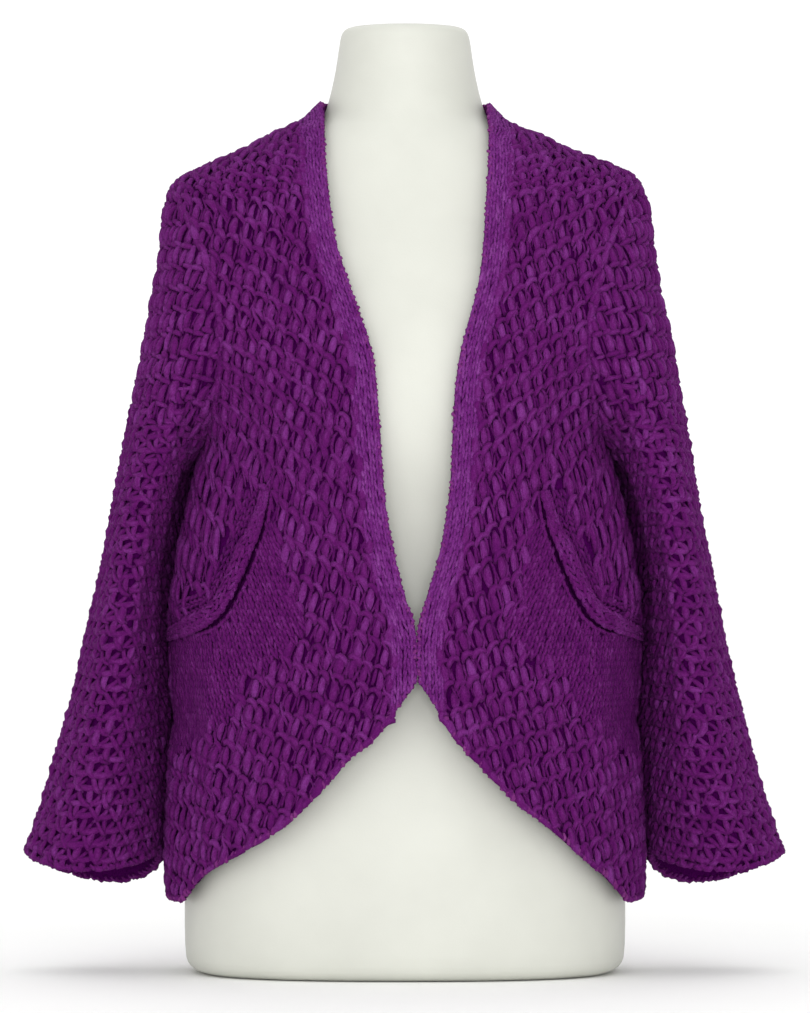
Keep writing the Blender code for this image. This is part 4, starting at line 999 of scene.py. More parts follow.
def ground_material(name, low, high):
    """The inner face of the knitting: yarn in shadow behind the loops, rough and dark."""
    material, tree, shader = new_material(name, 0.95, 1.54)
    place = add_node(tree, "ShaderNodeTexCoord")
    # Loops about 6 mm apart and fibres under a millimetre.
    loops = add_node(tree, "ShaderNodeTexVoronoi", {"Scale": 160.0}, {"Vector": place.outputs["Object"]})
    fibres = add_node(tree, "ShaderNodeTexNoise", {"Scale": 900.0, "Detail": 2.0},
                      {"Vector": place.outputs["Object"]})
    blend = add_node(tree, "ShaderNodeValToRGB", links={"Fac": fibres.outputs["Fac"]})
    ramp(blend, ((0.30, colour(low)), (0.70, colour(high))))
    tree.links.new(blend.outputs["Color"], shader.inputs["Base Color"])
    both = add_node(tree, "ShaderNodeMath", {"operation": "MULTIPLY_ADD", 1: 0.3},
                    {0: fibres.outputs["Fac"], 2: loops.outputs["Distance"]})
    bump = add_node(tree, "ShaderNodeBump", {"Strength": 0.7, "Distance": 0.0015},
                    {"Height": both.outputs[0]})
    tree.links.new(bump.outputs["Normal"], shader.inputs["Normal"])
    shader.inputs["Specular IOR Level"].default_value = 0.02
    return material


def cover_material(name):
    """Smooth satin plastic cover of the padded form, faintly uneven, with a fine grain."""
    material, tree, shader = new_material(name, 0.48, 1.5)
    place = add_node(tree, "ShaderNodeTexCoord")
    # A cast about 70 mm across, and a grain of the moulding a little over a millimetre.
    cast = add_node(tree, "ShaderNodeTexNoise", {"Scale": 14.0, "Detail": 3.0},
                    {"Vector": place.outputs["Object"]})
    grain = add_node(tree, "ShaderNodeTexNoise", {"Scale": 700.0, "Detail": 2.0},
                     {"Vector": place.outputs["Object"]})
    blend = add_node(tree, "ShaderNodeValToRGB", links={"Fac": cast.outputs["Fac"]})
    ramp(blend, ((0.30, colour("#cbccc3")), (0.70, colour("#d2d3ca"))))
    tree.links.new(blend.outputs["Color"], shader.inputs["Base Color"])
    bump = add_node(tree, "ShaderNodeBump", {"Strength": 0.12, "Distance": 0.0004},
                    {"Height": grain.outputs["Fac"]})
    tree.links.new(bump.outputs["Normal"], shader.inputs["Normal"])
    uneven = add_node(tree, "ShaderNodeMapRange", {"To Min": 0.42, "To Max": 0.56},
                      {"Value": cast.outputs["Fac"]})
    tree.links.new(uneven.outputs["Result"], shader.inputs["Roughness"])
    return material


def floor_material(name, pale):
    """A pale matt floor, faintly clouded."""
    material, tree, shader = new_material(name, 0.85)
    place = add_node(tree, "ShaderNodeTexCoord")
    cloud = add_node(tree, "ShaderNodeTexNoise", {"Scale": 3.0}, {"Vector": place.outputs["Object"]})
    blend = add_node(tree, "ShaderNodeValToRGB", links={"Fac": cloud.outputs["Fac"]})
    ramp(blend, ((0.3, pale), (0.7, tuple(min(1.0, c * 1.02) for c in pale[:3]) + (1.0,))))
    tree.links.new(blend.outputs["Color"], shader.inputs["Base Color"])
    return material


FINISHES = {
    "tuck_yarn": (yarn_material, "brushed_violet_tuck_yarn", "#47034f", "#5d1460", "#7d3688", 0.08),
    "stocking_yarn": (yarn_material, "brushed_violet_stocking_yarn", "#510a58", "#6d2576", "#8d4896", 0.10),
    "edge_yarn": (yarn_material, "brushed_rose_violet_edge_yarn", "#5c105a", "#762a73", "#944b8e", 0.20),
    "ground": (ground_material, "shaded_violet_knit_ground", "#32003a", "#47034f"),
    # The pocket panels' ground is darker than the rest: painted shade in the pits between its stitches and
    # along the pocket opening.
    "painted_shading_ground": (ground_material, "dark_violet_pocket_lining", "#24002a", "#3a0440"),
    "form_cover": (cover_material, "satin_ivory_form_cover"),
}
MATERIALS = {}


def material_of(finish):
    """The material of a finish, made once."""
    if finish not in MATERIALS:
        maker, *details = FINISHES[finish]
        MATERIALS[finish] = maker(*details)
    return MATERIALS[finish]


# ------------------------------------------------------------------------- properties


class ShrugKnitSizes(bpy.types.PropertyGroup):
    """Sizes of the yarn and of its stitches."""

    body_wale: bpy.props.FloatProperty(
        name="Body wale", description="Width of one body stitch",
        default=0.0109, unit="LENGTH")
    body_course: bpy.props.FloatProperty(
        name="Body course", description="Height of one body stitch",
        default=0.0195, unit="LENGTH")
    held_loop: bpy.props.FloatProperty(
        name="Held loop", description="Width of a held loop of the body",
        default=0.0048, unit="LENGTH")
    slant: bpy.props.FloatProperty(
        name="Bump yarn", description="Width of the yarn of a bump or an arm of the body",
        default=0.0031, unit="LENGTH")
    cell_wide: bpy.props.FloatProperty(
        name="Cell width", description="Width of one honeycomb cell of a sleeve",
        default=0.0170, unit="LENGTH")
    cell_high: bpy.props.FloatProperty(
        name="Cell course", description="Height from one sleeve course to the next",
        default=0.0106, unit="LENGTH")
    cell_yarn: bpy.props.FloatProperty(
        name="Sleeve yarn", description="Width of a strand of the sleeves",
        default=0.0041, unit="LENGTH")
    stocking_wale: bpy.props.FloatProperty(
        name="Stocking wale", description="Width of one stocking stitch",
        default=0.0064, unit="LENGTH")
    stocking_course: bpy.props.FloatProperty(
        name="Stocking course", description="Height of one stocking stitch",
        default=0.0052, unit="LENGTH")
    edge_pitch: bpy.props.FloatProperty(
        name="Edge stitch", description="Distance between the stitches of an edge",
        default=0.0060, unit="LENGTH")
    edge_yarn: bpy.props.FloatProperty(
        name="Edge yarn", description="Width of a strand wrapped over an edge",
        default=0.0036, unit="LENGTH")
    stocking_yarn: bpy.props.FloatProperty(
        name="Stocking yarn", description="Width of one leg of a stocking stitch",
        default=0.0026, unit="LENGTH")


class ShrugStageLook(bpy.types.PropertyGroup):
    """The stage's light and floor."""

    floor_colour: bpy.props.FloatVectorProperty(
        name="Floor", description="Colour of the floor",
        default=colour("#fdfdfc"), subtype="COLOR", size=4, min=0.0, max=1.0)
    key_power: bpy.props.FloatProperty(
        name="Key light", description="Power of the soft key light",
        default=5.2, unit="POWER")
    room_light: bpy.props.FloatProperty(
        name="Room light", description="Strength of the light from all around",
        default=1.11)


def attach(piece):
    """Makes a finished piece move with the garment."""
    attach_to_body(piece, "root")
    return piece


def flat_size(piece, width):
    """Flat width and length of a cloth shell from the area of one of its skins."""
    mesh = piece.data
    areas = np.zeros(len(mesh.polygons))
    mesh.polygons.foreach_get("area", areas)
    return width, float(areas.sum()) / 2.0 / width


# -------------------------------------------------------------------------- operators


def base_rows(top, above, armhole, below):
    """Row heights of a body shell at its outer ends and in its middle."""
    upper = top - (top - SHOULDER_TIP[1]) * np.linspace(0.0, 1.0, above, endpoint=False) ** 1.2
    turns = np.linspace(0.0, math.pi, armhole + 1)
    ends = ARMHOLE_CENTRE[1] + ARMHOLE_HALF[1] * np.cos(turns)
    lower = np.linspace(UNDERARM[1], HEM_HEIGHT, below + 1)[1:]
    share = np.linspace(0.0, 1.0, armhole + 1 + below) ** 1.15
    middles = SHOULDER_TIP[1] + (HEM_HEIGHT - SHOULDER_TIP[1]) * share
    middles[np.argmin(np.abs(middles - BAND_SEAM_END))] = BAND_SEAM_END
    return np.concatenate((upper, ends, lower)), np.concatenate((upper, middles))


def body_shell(name, face, firsts, lasts, ends, middles, columns, material):
    """The ground of a body panel: a thin shell just inside the stitches."""
    share = np.linspace(0.0, 1.0, columns)
    angles = firsts[:, None] * (1 - share) + lasts[:, None] * share
    outer_end = np.maximum(np.abs(firsts), np.abs(lasts))[:, None]
    bend = (np.abs(angles) / outer_end) ** 2.4
    heights = middles[:, None] + (ends - middles)[:, None] * bend
    skin, normals = folded_body(angles, heights, face)
    outer, inner = skin - BODY_STITCH_ROOM * normals, skin - KNIT_THICKNESS * normals
    # At the side seams, the front and the back each keep half of the gap.
    away = -1.0 if face == "front" else 1.0
    for grid in (outer, inner):
        grid[..., 1] = np.where(np.abs(grid[..., 1]) < SEAM_GAP / 2, away * SEAM_GAP / 2, grid[..., 1])
    return shell(name, outer, inner, material)


class SHRUG_OT_dress_form(bpy.types.Operator):
    """Smooth ivory dress form under the garment"""

    bl_idname = "shrug.dress_form"
    bl_label = "Dress form"

    def execute(self, context):
        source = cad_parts["dress_form"]
        bpy.ops.object.select_all(action="DESELECT")
        form = bpy.data.objects.new("form_body", source.data.copy())
        context.scene.collection.objects.link(form)
        context.view_layer.objects.active = form
        form.select_set(True)
        bpy.ops.object.mode_set(mode="EDIT")
        bpy.ops.mesh.select_all(action="SELECT")
        bpy.ops.mesh.remove_doubles(threshold=0.00005)
        bpy.ops.mesh.tris_convert_to_quads(face_threshold=math.radians(60),
                                           shape_threshold=math.radians(60))
        bpy.ops.object.mode_set(mode="OBJECT")
        mesh = form.data
        # The edges of the flat base stay sharp.
        crease = mesh.attributes.new("crease_edge", "FLOAT", "EDGE")
        for edge in mesh.edges:
            low = all(mesh.vertices[i].co.z < 0.0002 for i in edge.vertices)
            crease.data[edge.index].value = 1.0 if low else 0.0
        smooth = form.modifiers.new("round", "SUBSURF")
        smooth.levels = smooth.render_levels = 1
        bpy.ops.object.modifier_apply(modifier=smooth.name)
        mesh.shade_smooth()
        mesh.materials.clear()
        mesh.materials.append(material_of("form_cover"))
        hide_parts("dress_form")
        attach(form)
        return {"FINISHED"}


def pocket_outlines(cloth):
    """Outlines of a pocket's panel and of the strip above its opening, out and up."""

    def flat(plane):
        return np.stack((cloth.out_at(plane[:, 0], plane[:, 1]), plane[:, 1]), axis=-1)

    panel = flat(np.concatenate((smooth_run(POCKET_LINE, 40), smooth_run(POCKET_OUTLINE, 40)[::-1])))
    sides = beside_pocket(40, (0.0, POCKET_BAND_WIDTH + 0.014))
    return panel, flat(np.concatenate((sides[:, 0], sides[::-1, 1])))


class SHRUG_OT_fronts(bpy.types.Operator):
    """Right and left fronts: ground, held loops, the bumps over them and their arms"""

    bl_idname = "shrug.fronts"
    bl_label = "Fronts"

    def execute(self, context):
        knit = context.scene.shrug_knit
        cloth = BodyCloth("front")
        panel, strip = pocket_outlines(cloth)
        for number, (side, sign) in enumerate(SIDES.items()):
            ends, middles = base_rows(seam_top() - 0.0012, above=10, armhole=24, below=32)
            firsts = ring_angle(inner_edge(middles, side), middles, "front")
            lasts = sign * (end_angle(ends, "front") - 0.0010)
            ground = body_shell(f"front_{side}_cloth", "front", firsts, lasts, ends, middles, 34,
                                material_of("ground"))

            def limits(height):
                first = cloth.out_at(ring_angle(inner_edge(height, side), height, "front"), height)
                last = cloth.out_at(sign * (end_angle(height, "front") - 0.003), height)
                # Stitches reach over the band's seam, and stop just inside the cutaway edge.
                first = first + sign * np.where(height > BAND_SEAM_END, -0.0028, 0.0012)
                return (first, last) if sign > 0 else (last, first)

            def at_pocket(out, height):
                return inside_outline(panel, out, height) | inside_outline(strip, out, height)

            measure = body_place(FRONT_HANG, sign, knit)
            cells = body_cells(measure, limits, at_pocket)
            half_yarns = {"held_loop": knit.held_loop / 2, "slant": knit.slant / 2}
            sets = body_strands(cloth, measure, cells, limits, FRONT_STRANDS, half_yarns, 11 + number)
            sets += [side_seam_strands(side, knit, 15 + number), band_seam_strands(side, knit, 19 + number)]
            loops = stitches(f"front_{side}_stitches", sets, material_of("tuck_yarn"))
            # The free edge: down the cutaway, then out along the hem.
            edge_height = np.linspace(BAND_SEAM_END, HEM_HEIGHT, 160)
            edge_angle = ring_angle(inner_edge(edge_height, side), edge_height, "front")
            hem_angle = np.linspace(edge_angle[-1], sign * (math.pi / 2 - 0.004), 12)[1:]
            hem_height = np.full(len(hem_angle), HEM_HEIGHT)
            edge, facing = folded_body(np.concatenate((edge_angle, hem_angle)),
                                       np.concatenate((edge_height, hem_height)), "front")
            rim = edge_wraps(f"front_{side}_edge", edge, facing, np.array((sign, 0.0, 0.8)),
                             knit.edge_pitch, knit.edge_yarn, material_of("edge_yarn"), 21 + number)
            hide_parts("front_" + side)
            for piece in (ground, loops, rim):
                attach(piece)
            flat_size(ground, FRONT_FLAT_WIDTH)
        return {"FINISHED"}


class SHRUG_OT_back(bpy.types.Operator):
    """Back: ground, held loops, the bumps over them and their arms"""

    bl_idname = "shrug.back"
    bl_label = "Back"

    def execute(self, context):
        knit = context.scene.shrug_knit
        cloth = BodyCloth("back")
        ends, middles = base_rows(seam_top() - SEAM_GAP, above=10, armhole=24, below=28)
        lasts = end_angle(ends, "back") - 0.0010
        ground = body_shell("back_cloth", "back", -lasts, lasts, ends, middles, 60, material_of("ground"))
        for number, (side, sign) in enumerate(SIDES.items()):

            def limits(height):
                last = cloth.out_at(sign * (end_angle(height, "back") - 0.003), height)
                return (0.0 * height, last) if sign > 0 else (last, 0.0 * height)

            measure = body_place(BACK_HANG, sign, knit)
            cells = body_cells(measure, limits)
            # With one arm fewer to a stitch, the back's bumps and arms are a little thicker.
            half_yarns = {"held_loop": knit.held_loop / 2, "slant": knit.slant * 1.15 / 2}
            sets = body_strands(cloth, measure, cells, limits, BACK_STRANDS, half_yarns, 31 + number)
            loops = stitches(f"back_{side}_stitches", sets, material_of("tuck_yarn"))
            attach(loops)
        turn = np.linspace(-math.pi / 2 + 0.004, math.pi / 2 - 0.004, 300)
        edge, facing = folded_body(turn, np.full(len(turn), HEM_HEIGHT), "back")
        rim = edge_wraps("back_edge", edge, facing, np.array((0.0, 0.0, 1.0)), knit.edge_pitch,
                         knit.edge_yarn, material_of("edge_yarn"), 35)
        attach(rim)
        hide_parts("back")
        attach(ground)
        flat_size(ground, BACK_FLAT_WIDTH)
        return {"FINISHED"}


def armhole_strands(side, face, knit, seed):
    """Loops that run over the armhole, so that body and sleeve read as one knitting."""
    reach = 0.0030
    heights = np.linspace(UNDERARM[1] + 0.004, SHOULDER_TIP[1] - 0.004, 300)
    edge = ring_point(end_angle(heights, face), heights, face)
    length = path_length(edge)
    pitch = knit.body_course * 0.5

    def place(across, down):
        height = np.interp(down * pitch, length, heights)
        angle = end_angle(height, face) + across * reach / RING_RADIUS
        return folded_body(SIDES[side] * angle, height, face)

    cells = np.array([(0.5 - k % 2, k + 0.5) for k in range(int(length[-1] / pitch))])
    half_yarn = knit.held_loop / 2
    return laid_strands(place, cells, SEAM_LOOP, half_yarn, half_yarn * 0.6, 6, 0.06, seed)


def side_seam_strands(side, knit, seed):
    """Loops that run over the side seam, from the underarm to the hem."""
    reach = 0.0035
    pitch = knit.body_course * 0.5
    count = int((UNDERARM[1] - HEM_HEIGHT) / pitch)

    def place(across, down):
        height = np.clip(UNDERARM[1] - down * pitch, HEM_HEIGHT + 0.001, UNDERARM[1])
        angle = math.pi / 2 + across * reach / RING_RADIUS
        return folded_body(SIDES[side] * angle, height, "front")

    cells = np.array([(-0.5 - k % 2, k + 0.5) for k in range(count)])
    half_yarn = knit.held_loop / 2
    return laid_strands(place, cells, SEAM_LOOP, half_yarn, half_yarn * 0.6, 5, 0.06, seed)


def band_seam_strands(side, knit, seed):
    """Yarn of the seam that joins a front to its band."""
    reach, half_width, half_height = 0.0015, 0.0019, 0.0012
    heights = np.linspace(BAND_SEAM_END, seam_top() - 0.001, 400)
    angles = ring_angle(inner_edge(heights, side) - SIDES[side] * SEAM_GAP, heights, "front")
    line = ring_point(angles, heights, "front")
    length = path_length(line)
    pitch = knit.stocking_course * 1.3

    def place(across, down):
        height = np.interp(down * pitch, length, heights)
        angle = np.interp(height, heights, angles)
        return folded_body(angle + across * reach / RING_RADIUS, height, "front")

    cells = np.array([(0.0, k + 0.5) for k in range(int(length[-1] / pitch))])
    # The seam's yarn, drawn into the seam, is painted darker: painted shade.
    return laid_strands(place, cells, SEAM_BINDING, half_width, half_height, 4, 0.06, seed, -1.0)


class SHRUG_OT_sleeves(bpy.types.Operator):
    """Dolman sleeves: ground, honeycomb cells with a bar, and held loops up the arm"""

    bl_idname = "shrug.sleeves"
    bl_label = "Sleeves"

    def execute(self, context):
        knit = context.scene.shrug_knit
        for number, side in enumerate(SIDES):
            turns = np.linspace(0.0, 2.0 * math.pi, 72, endpoint=False)
            along = np.linspace(0.0, 1.0, 48) ** 1.05
            # The first row stands just clear of the armhole.
            along[0] = 0.0016
            turn_grid, along_grid = np.meshgrid(turns, along)
            skin, normals = folded_sleeve(turn_grid, along_grid, side)
            ground = shell(f"sleeve_{side}_cloth", skin - SLEEVE_STITCH_ROOM * normals,
                           skin - KNIT_THICKNESS * normals, material_of("ground"), round_about=True)
            cloth = SleeveCloth(side)
            # Courses lie a little closer up the arm.
            levels = np.linspace(CUFF_HEIGHT, SHOULDER_TIP[1], 400)
            spacing = knit.cell_high * (0.84 + 0.16 * soft_step((0.46 - levels) / 0.16))
            rows = np.concatenate(([0.0], np.cumsum(np.diff(levels) / spacing[1:])))

            def measure(across, down):
                return across * knit.cell_wide, np.interp(-down, rows, levels)

            cells = lattice_cells((-17, 18), (-60, 1), 0.5)
            level = measure(cells[:, 0], cells[:, 1])[1]
            # Up the arm the cells close up: every other wale moves up to its neighbours' level.
            closed = 0.78 * soft_step((level - 0.38) / 0.13)
            cells[:, 1] -= closed * (cells[:, 1] % 2.0)
            out, level = measure(cells[:, 0], cells[:, 1])
            inside = (out < cloth.reach(1.0, level) - 0.001) & (out > -cloth.reach(-1.0, level) + 0.001)
            inside &= (-cells[:, 1] < rows[-1] - 0.3) & (-cells[:, 1] > -0.2)
            # The change from cells to tall loops is ragged, as in hand knitting.
            upper = closed > np.random.default_rng(49).uniform(0.15, 0.62, len(cells))
            low_cells, top_cells = cells[inside & ~upper], cells[inside & upper]

            def place(across, down):
                at_out, at_level = measure(across, down)
                held = np.clip(at_out, -cloth.reach(-1.0, at_level), cloth.reach(1.0, at_level))
                return cloth.skin(held, at_level)

            half_yarns = {"cell_yarn": knit.cell_yarn / 2, "held_loop": knit.held_loop / 2,
                          "slant": knit.slant / 2}
            sets = strands_of(LOW_SLEEVE_STRANDS, place, low_cells, half_yarns, number)
            sets += strands_of(TOP_SLEEVE_STRANDS, place, top_cells, half_yarns, number)
            sets += [armhole_strands(side, face, knit, 64 + number) for face in ("front", "back")]
            loops = stitches(f"sleeve_{side}_stitches", sets, material_of("tuck_yarn"))
            # The cuff is wrapped a little closer and with thicker yarn than the other edges.
            turn = np.linspace(0.0, 2.0 * math.pi, 400)
            edge, facing = folded_sleeve(turn, np.ones(len(turn)), side)
            rim = edge_wraps(f"sleeve_{side}_edge", edge, facing, np.array((0.0, 0.0, 1.0)),
                             knit.edge_pitch * 0.96, knit.edge_yarn * 1.20, material_of("tuck_yarn"),
                             67 + number)
            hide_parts("sleeve_" + side)
            for piece in (ground, loops, rim):
                attach(piece)
            flat_size(ground, SLEEVE_FLAT_WIDTH)
        return {"FINISHED"}


def band_grid(side):
    """Fine grid of the front band's skin: rows along it, columns from edge to seam."""
    sign = SIDES[side]
    fine = 500
    front_edge = NECK_HEIGHT + (FRONT_TIP_HEIGHT - NECK_HEIGHT) * np.linspace(0.0, 1.0, fine) ** 1.8
    top = seam_top()
    front_seam = top + (BAND_SEAM_END - top) * np.linspace(0.0, 1.0, fine) ** 1.8
    edge_angle = ring_angle(OPENING.at(side, front_edge), front_edge, "front")
    seam_x = OPENING.at(side, np.maximum(front_seam, FRONT_TIP_HEIGHT)) + sign * BAND_WIDTH
    seam_angle = ring_angle(seam_x, front_seam, "front")
    edge_angle[0] = seam_angle[0] = sign * math.pi / 2

    def strip(angle_edge, height_edge, angle_seam, height_seam, face, rows):
        """Rows of points from the free edge to the seam, evenly spaced along both."""
        order = np.arange(len(angle_edge))
        share_seam = path_share(ring_point(angle_seam, height_seam, face))
        share_edge = path_share(ring_point(angle_edge, height_edge, face))
        wanted = np.linspace(0.0, 1.0, rows)
        at_seam = np.interp(wanted, share_seam, order)
        at_edge = np.interp(wanted, share_edge, order)
        share = np.linspace(0.0, 1.0, 11)
        angles = (np.interp(at_edge, order, angle_edge)[:, None] * (1 - share)
                  + np.interp(at_seam, order, angle_seam)[:, None] * share)
        heights = (np.interp(at_edge, order, height_edge)[:, None] * (1 - share)
                   + np.interp(at_seam, order, height_seam)[:, None] * share)
        points = ring_point(angles, heights, face)
        return points, ring_normal(points, face)

    front = strip(edge_angle, front_edge, seam_angle, front_seam, "front", 170)
    turn = np.linspace(math.pi / 2, SEAM_GAP / (2 * BODY_DEPTH.at("back", NECK_HEIGHT)), fine)
    back_edge = BACK_NECK_EDGE + (NECK_HEIGHT - BACK_NECK_EDGE) * np.sin(turn)
    back = strip(sign * turn, back_edge, sign * turn, np.full_like(turn, top), "back", 36)
    points = np.concatenate((front[0][::-1], back[0][1:]))
    normals = np.concatenate((front[1][::-1], back[1][1:]))
    return points, normals


class SHRUG_OT_front_bands(bpy.types.Operator):
    """Stocking-stitch bands along the opening and round the neck"""

    bl_idname = "shrug.front_bands"
    bl_label = "Front bands"

    def execute(self, context):
        knit = context.scene.shrug_knit
        for number, side in enumerate(SIDES):
            points, normals = band_grid(side)
            ground = shell(f"front_band_{side}_cloth", points - BAND_STITCH_ROOM * normals,
                           points - BAND_THICKNESS * normals, material_of("ground"))
            columns = points.shape[1] - 1
            length = path_length(points[:, columns // 2])
            # Whole courses from end to end.
            wales = 4
            count = round(length[-1] / BAND_COURSE)
            course = length[-1] / count
            rows = np.arange(len(length))

            def place(across, down):
                row = np.interp(down * course, length, rows)
                column = np.clip(across / wales, 0.01, 0.99) * columns
                return read_grid(points, row, column), unit(read_grid(normals, row, column))

            sets = stocking_strands(place, middle_cells(wales, count), LONG_LEG,
                                    knit.stocking_yarn / 2 * 1.22, 0.8, 4, 0.04, 71 + number)
            loops = stitches(f"front_band_{side}_stitches", sets, material_of("stocking_yarn"))
            edge = np.concatenate((points[0, :0:-1], points[:, 0]))
            facing = np.concatenate((normals[0, :0:-1], normals[:, 0]))
            toward = np.concatenate((points[1, :0:-1], points[:, 1])) - edge
            rim = edge_wraps(f"front_band_{side}_edge", edge, facing, toward, knit.edge_pitch * 0.8,
                             knit.edge_yarn * 0.8, material_of("edge_yarn"), 77 + number, inset=0.0007)
            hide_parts("front_band_" + side)
            for piece in (ground, loops, rim):
                attach(piece)
            flat_size(ground, BAND_WIDTH)
        return {"FINISHED"}


class SHRUG_OT_pockets(bpy.types.Operator):
    """Pocket panels and the rolled bands of the pocket openings"""

    bl_idname = "shrug.pockets"
    bl_label = "Pockets"

    def execute(self, context):
        knit = context.scene.shrug_knit
        cloth = BodyCloth("front")
        panel = pocket_outlines(cloth)[0]
        for number, (side, sign) in enumerate(SIDES.items()):
            upper, lower = smooth_run(POCKET_LINE, 60), smooth_run(POCKET_OUTLINE, 60)
            share = np.linspace(0.0, 1.0, 30)[None, :, None]
            plane = upper[:, None, :] * (1 - share) + lower[:, None, :] * share
            skin, normals = folded_body(sign * plane[..., 0], plane[..., 1], "front")
            # The panel's ground is painted darker still: painted shade in its pits and along the opening.
            ground = shell(f"pocket_panel_{side}_cloth", skin - PANEL_STITCH_ROOM * normals,
                           skin - PANEL_THICKNESS * normals, material_of("painted_shading_ground"))

            # Wales that fan out a little on their way down from the top of the opening.
            def measure(across, down):
                height = PANEL_TOP - down * knit.stocking_course
                lean = np.maximum(0.50 - 0.0130 * across, 0.10)
                return PANEL_START + across * knit.stocking_wale + lean * (height - PANEL_PIVOT), height

            cells = np.array([(w + 0.5, d + 0.5) for w in range(36) for d in range(46)])
            out, height = measure(cells[:, 0], cells[:, 1])
            line = upper[::3]
            line_out = cloth.out_at(line[:, 0], line[:, 1])
            from_line = np.hypot(out[:, None] - line_out, height[:, None] - line[:, 1])
            # The stitches end 6 mm short of the opening, and 1 mm short at its outer end.
            nearest = from_line.argmin(axis=1) / (len(line) - 1.0)
            gap = 0.0062 - 0.0052 * soft_step((nearest - 0.64) / 0.14)
            near = [inside_outline(panel, out + x, height + z)
                    for x, z in ((0, 0), (0.003, 0), (-0.003, 0), (0, 0.003))]
            cells = cells[np.any(near, axis=0) & (from_line.min(axis=1) > gap)]

            def place(across, down):
                out, height = measure(across, down)
                return cloth.skin(sign * out, height)

            yarn = knit.stocking_yarn / 2 * 1.32
            # Both legs are painted darker than the body's yarn, one leg more than the other: painted shade.
            sets = stocking_strands(place, cells, LONG_LEG, yarn, 0.75, 4, 0.045, 91 + number,
                                    painted_leg_shading=(-0.9, -1.5))
            # The bound edge of the panel sags below the opening, most in its upper half.
            run = np.linspace(0.0, 1.0, 60)
            mouth = 0.0008 + 0.0040 * np.sin(math.pi * np.minimum(run / 0.72, 1.0)) ** 0.7
            mouth -= 0.0016 * soft_step((run - 0.66) / 0.2)
            bound = beside_pocket(60, (-1.0, 0.0))
            bound = bound[:, 1] * (1.0 - mouth[:, None]) + bound[:, 0] * mouth[:, None]
            rim, rim_facing = folded_body(sign * bound[:, 0], bound[:, 1], "front")
            round_rim = path_length(rim)

            def place_rim(across, down):
                at = np.clip(down * knit.stocking_course, 0.0, round_rim[-1])
                rise = (across * 0.004)[..., None] * np.array((0.0, 0.0, 1.0))
                return path_at(at, round_rim, rim) + rise, unit(path_at(at, round_rim, rim_facing))

            count = int(round_rim[-1] / knit.stocking_course)
            rim_cells = np.array([(0.0, k + 0.5) for k in range(count)])
            sets.append(laid_strands(place_rim, rim_cells, BINDING, yarn, yarn * 0.8, 5, 0.05, 97 + number))
            loops = stitches(f"pocket_panel_{side}_stitches", sets, material_of("tuck_yarn"))
            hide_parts("pocket_panel_" + side)
            attach(ground)
            attach(loops)
            flat_size(ground, PANEL_FLAT_WIDTH)
            self.rolled_band(side, sign, number, knit)
        return {"FINISHED"}

    @staticmethod
    def rolled_band(side, sign, number, knit):
        """The band that rolls over along the upper side of a pocket opening."""
        rows = 90
        share = np.linspace(0.0, 1.0, 13)
        plane = beside_pocket(rows, SEAM_GAP * 2 + share * POCKET_BAND_WIDTH)
        swell = np.sqrt(np.clip(1.0 - (2.0 * share - 1.0) ** 2, 0.0, 1.0))
        # The roll is narrow at its upper end, and narrow and low at its outer end.
        run = np.linspace(0.0, 1.0, rows)
        narrow = 0.50 + 0.50 * soft_step(run / 0.30) - 0.40 * soft_step((run - 0.62) / 0.36)
        plane = plane[:, :1] + (plane - plane[:, :1]) * narrow[:, None, None]
        ends = np.sin(np.linspace(0.12, math.pi - 0.12, rows)) ** 0.3 * narrow
        ends = ends * (1.0 - 0.88 * soft_step((run - 0.55) / 0.32))
        skin, normals = folded_body(sign * plane[..., 0], plane[..., 1], "front")
        proud = 0.0008 + (POCKET_BAND_THICKNESS - 0.0024) * swell[None, :] * ends[:, None]
        low = skin + LAY_ON_GAP * normals
        high = skin + (LAY_ON_GAP + proud)[..., None] * normals
        ground = shell(f"pocket_band_{side}_roll", high - ROLL_STITCH_ROOM * normals, low,
                       material_of("ground"))
        length = float(path_length(high[:, len(share) // 2])[-1])
        facing = unit(np.cross(np.gradient(high, axis=0), np.gradient(high, axis=1)) * -sign)
        wales, low_wales = 2, 3
        count = int(length / ROLL_COURSE)

        def place(across, down):
            row = np.clip(down * ROLL_COURSE / length, 0.0, 1.0) * (rows - 1)
            column = np.clip(across / wales, 0.02, 0.98) * (len(share) - 1)
            return read_grid(high, row, column), unit(read_grid(facing, row, column))

        # The strip of stitches that the roll is folded over, on the front itself; they are dark with
        # painted shade from the roll.
        strip = np.linspace(POCKET_BAND_WIDTH - 0.004, POCKET_BAND_WIDTH + 0.016, 9)
        flat = beside_pocket(rows, strip)
        under, under_facing = folded_body(sign * flat[..., 0], flat[..., 1], "front")

        def place_under(across, down):
            row = np.clip(down * ROLL_COURSE / length, 0.0, 1.0) * (rows - 1)
            column = np.clip(across / low_wales, 0.0, 1.0) * (len(strip) - 1)
            normals = read_grid(under_facing, row, column)
            return read_grid(under, row, column) - 0.0012 * normals, unit(normals)

        yarn = knit.stocking_yarn / 2 * 1.35
        sets = stocking_strands(place, middle_cells(wales, count), STOCKING_LEG, yarn, 0.8, 5, 0.04,
                                111 + number)
        # Painted shade: the strip's stitches are painted much darker, as the roll shades them.
        sets += stocking_strands(place_under, middle_cells(low_wales, count), STOCKING_LEG, yarn, 0.8, 4,
                                 0.05, 115 + number, painted_leg_shading=(-2.0, -2.0))
        rim_cells = np.array([(0.10, d + 0.5) for d in range(count)])
        sets.append(laid_strands(place, rim_cells, BINDING, yarn * 1.1, yarn * 0.9, 5, 0.03, 119 + number))
        loops = stitches(f"pocket_band_{side}_stitches", sets, material_of("tuck_yarn"))
        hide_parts("pocket_band_" + side)
        attach(ground)
        attach(loops)
        flat_size(ground, ROLL_FLAT_WIDTH)


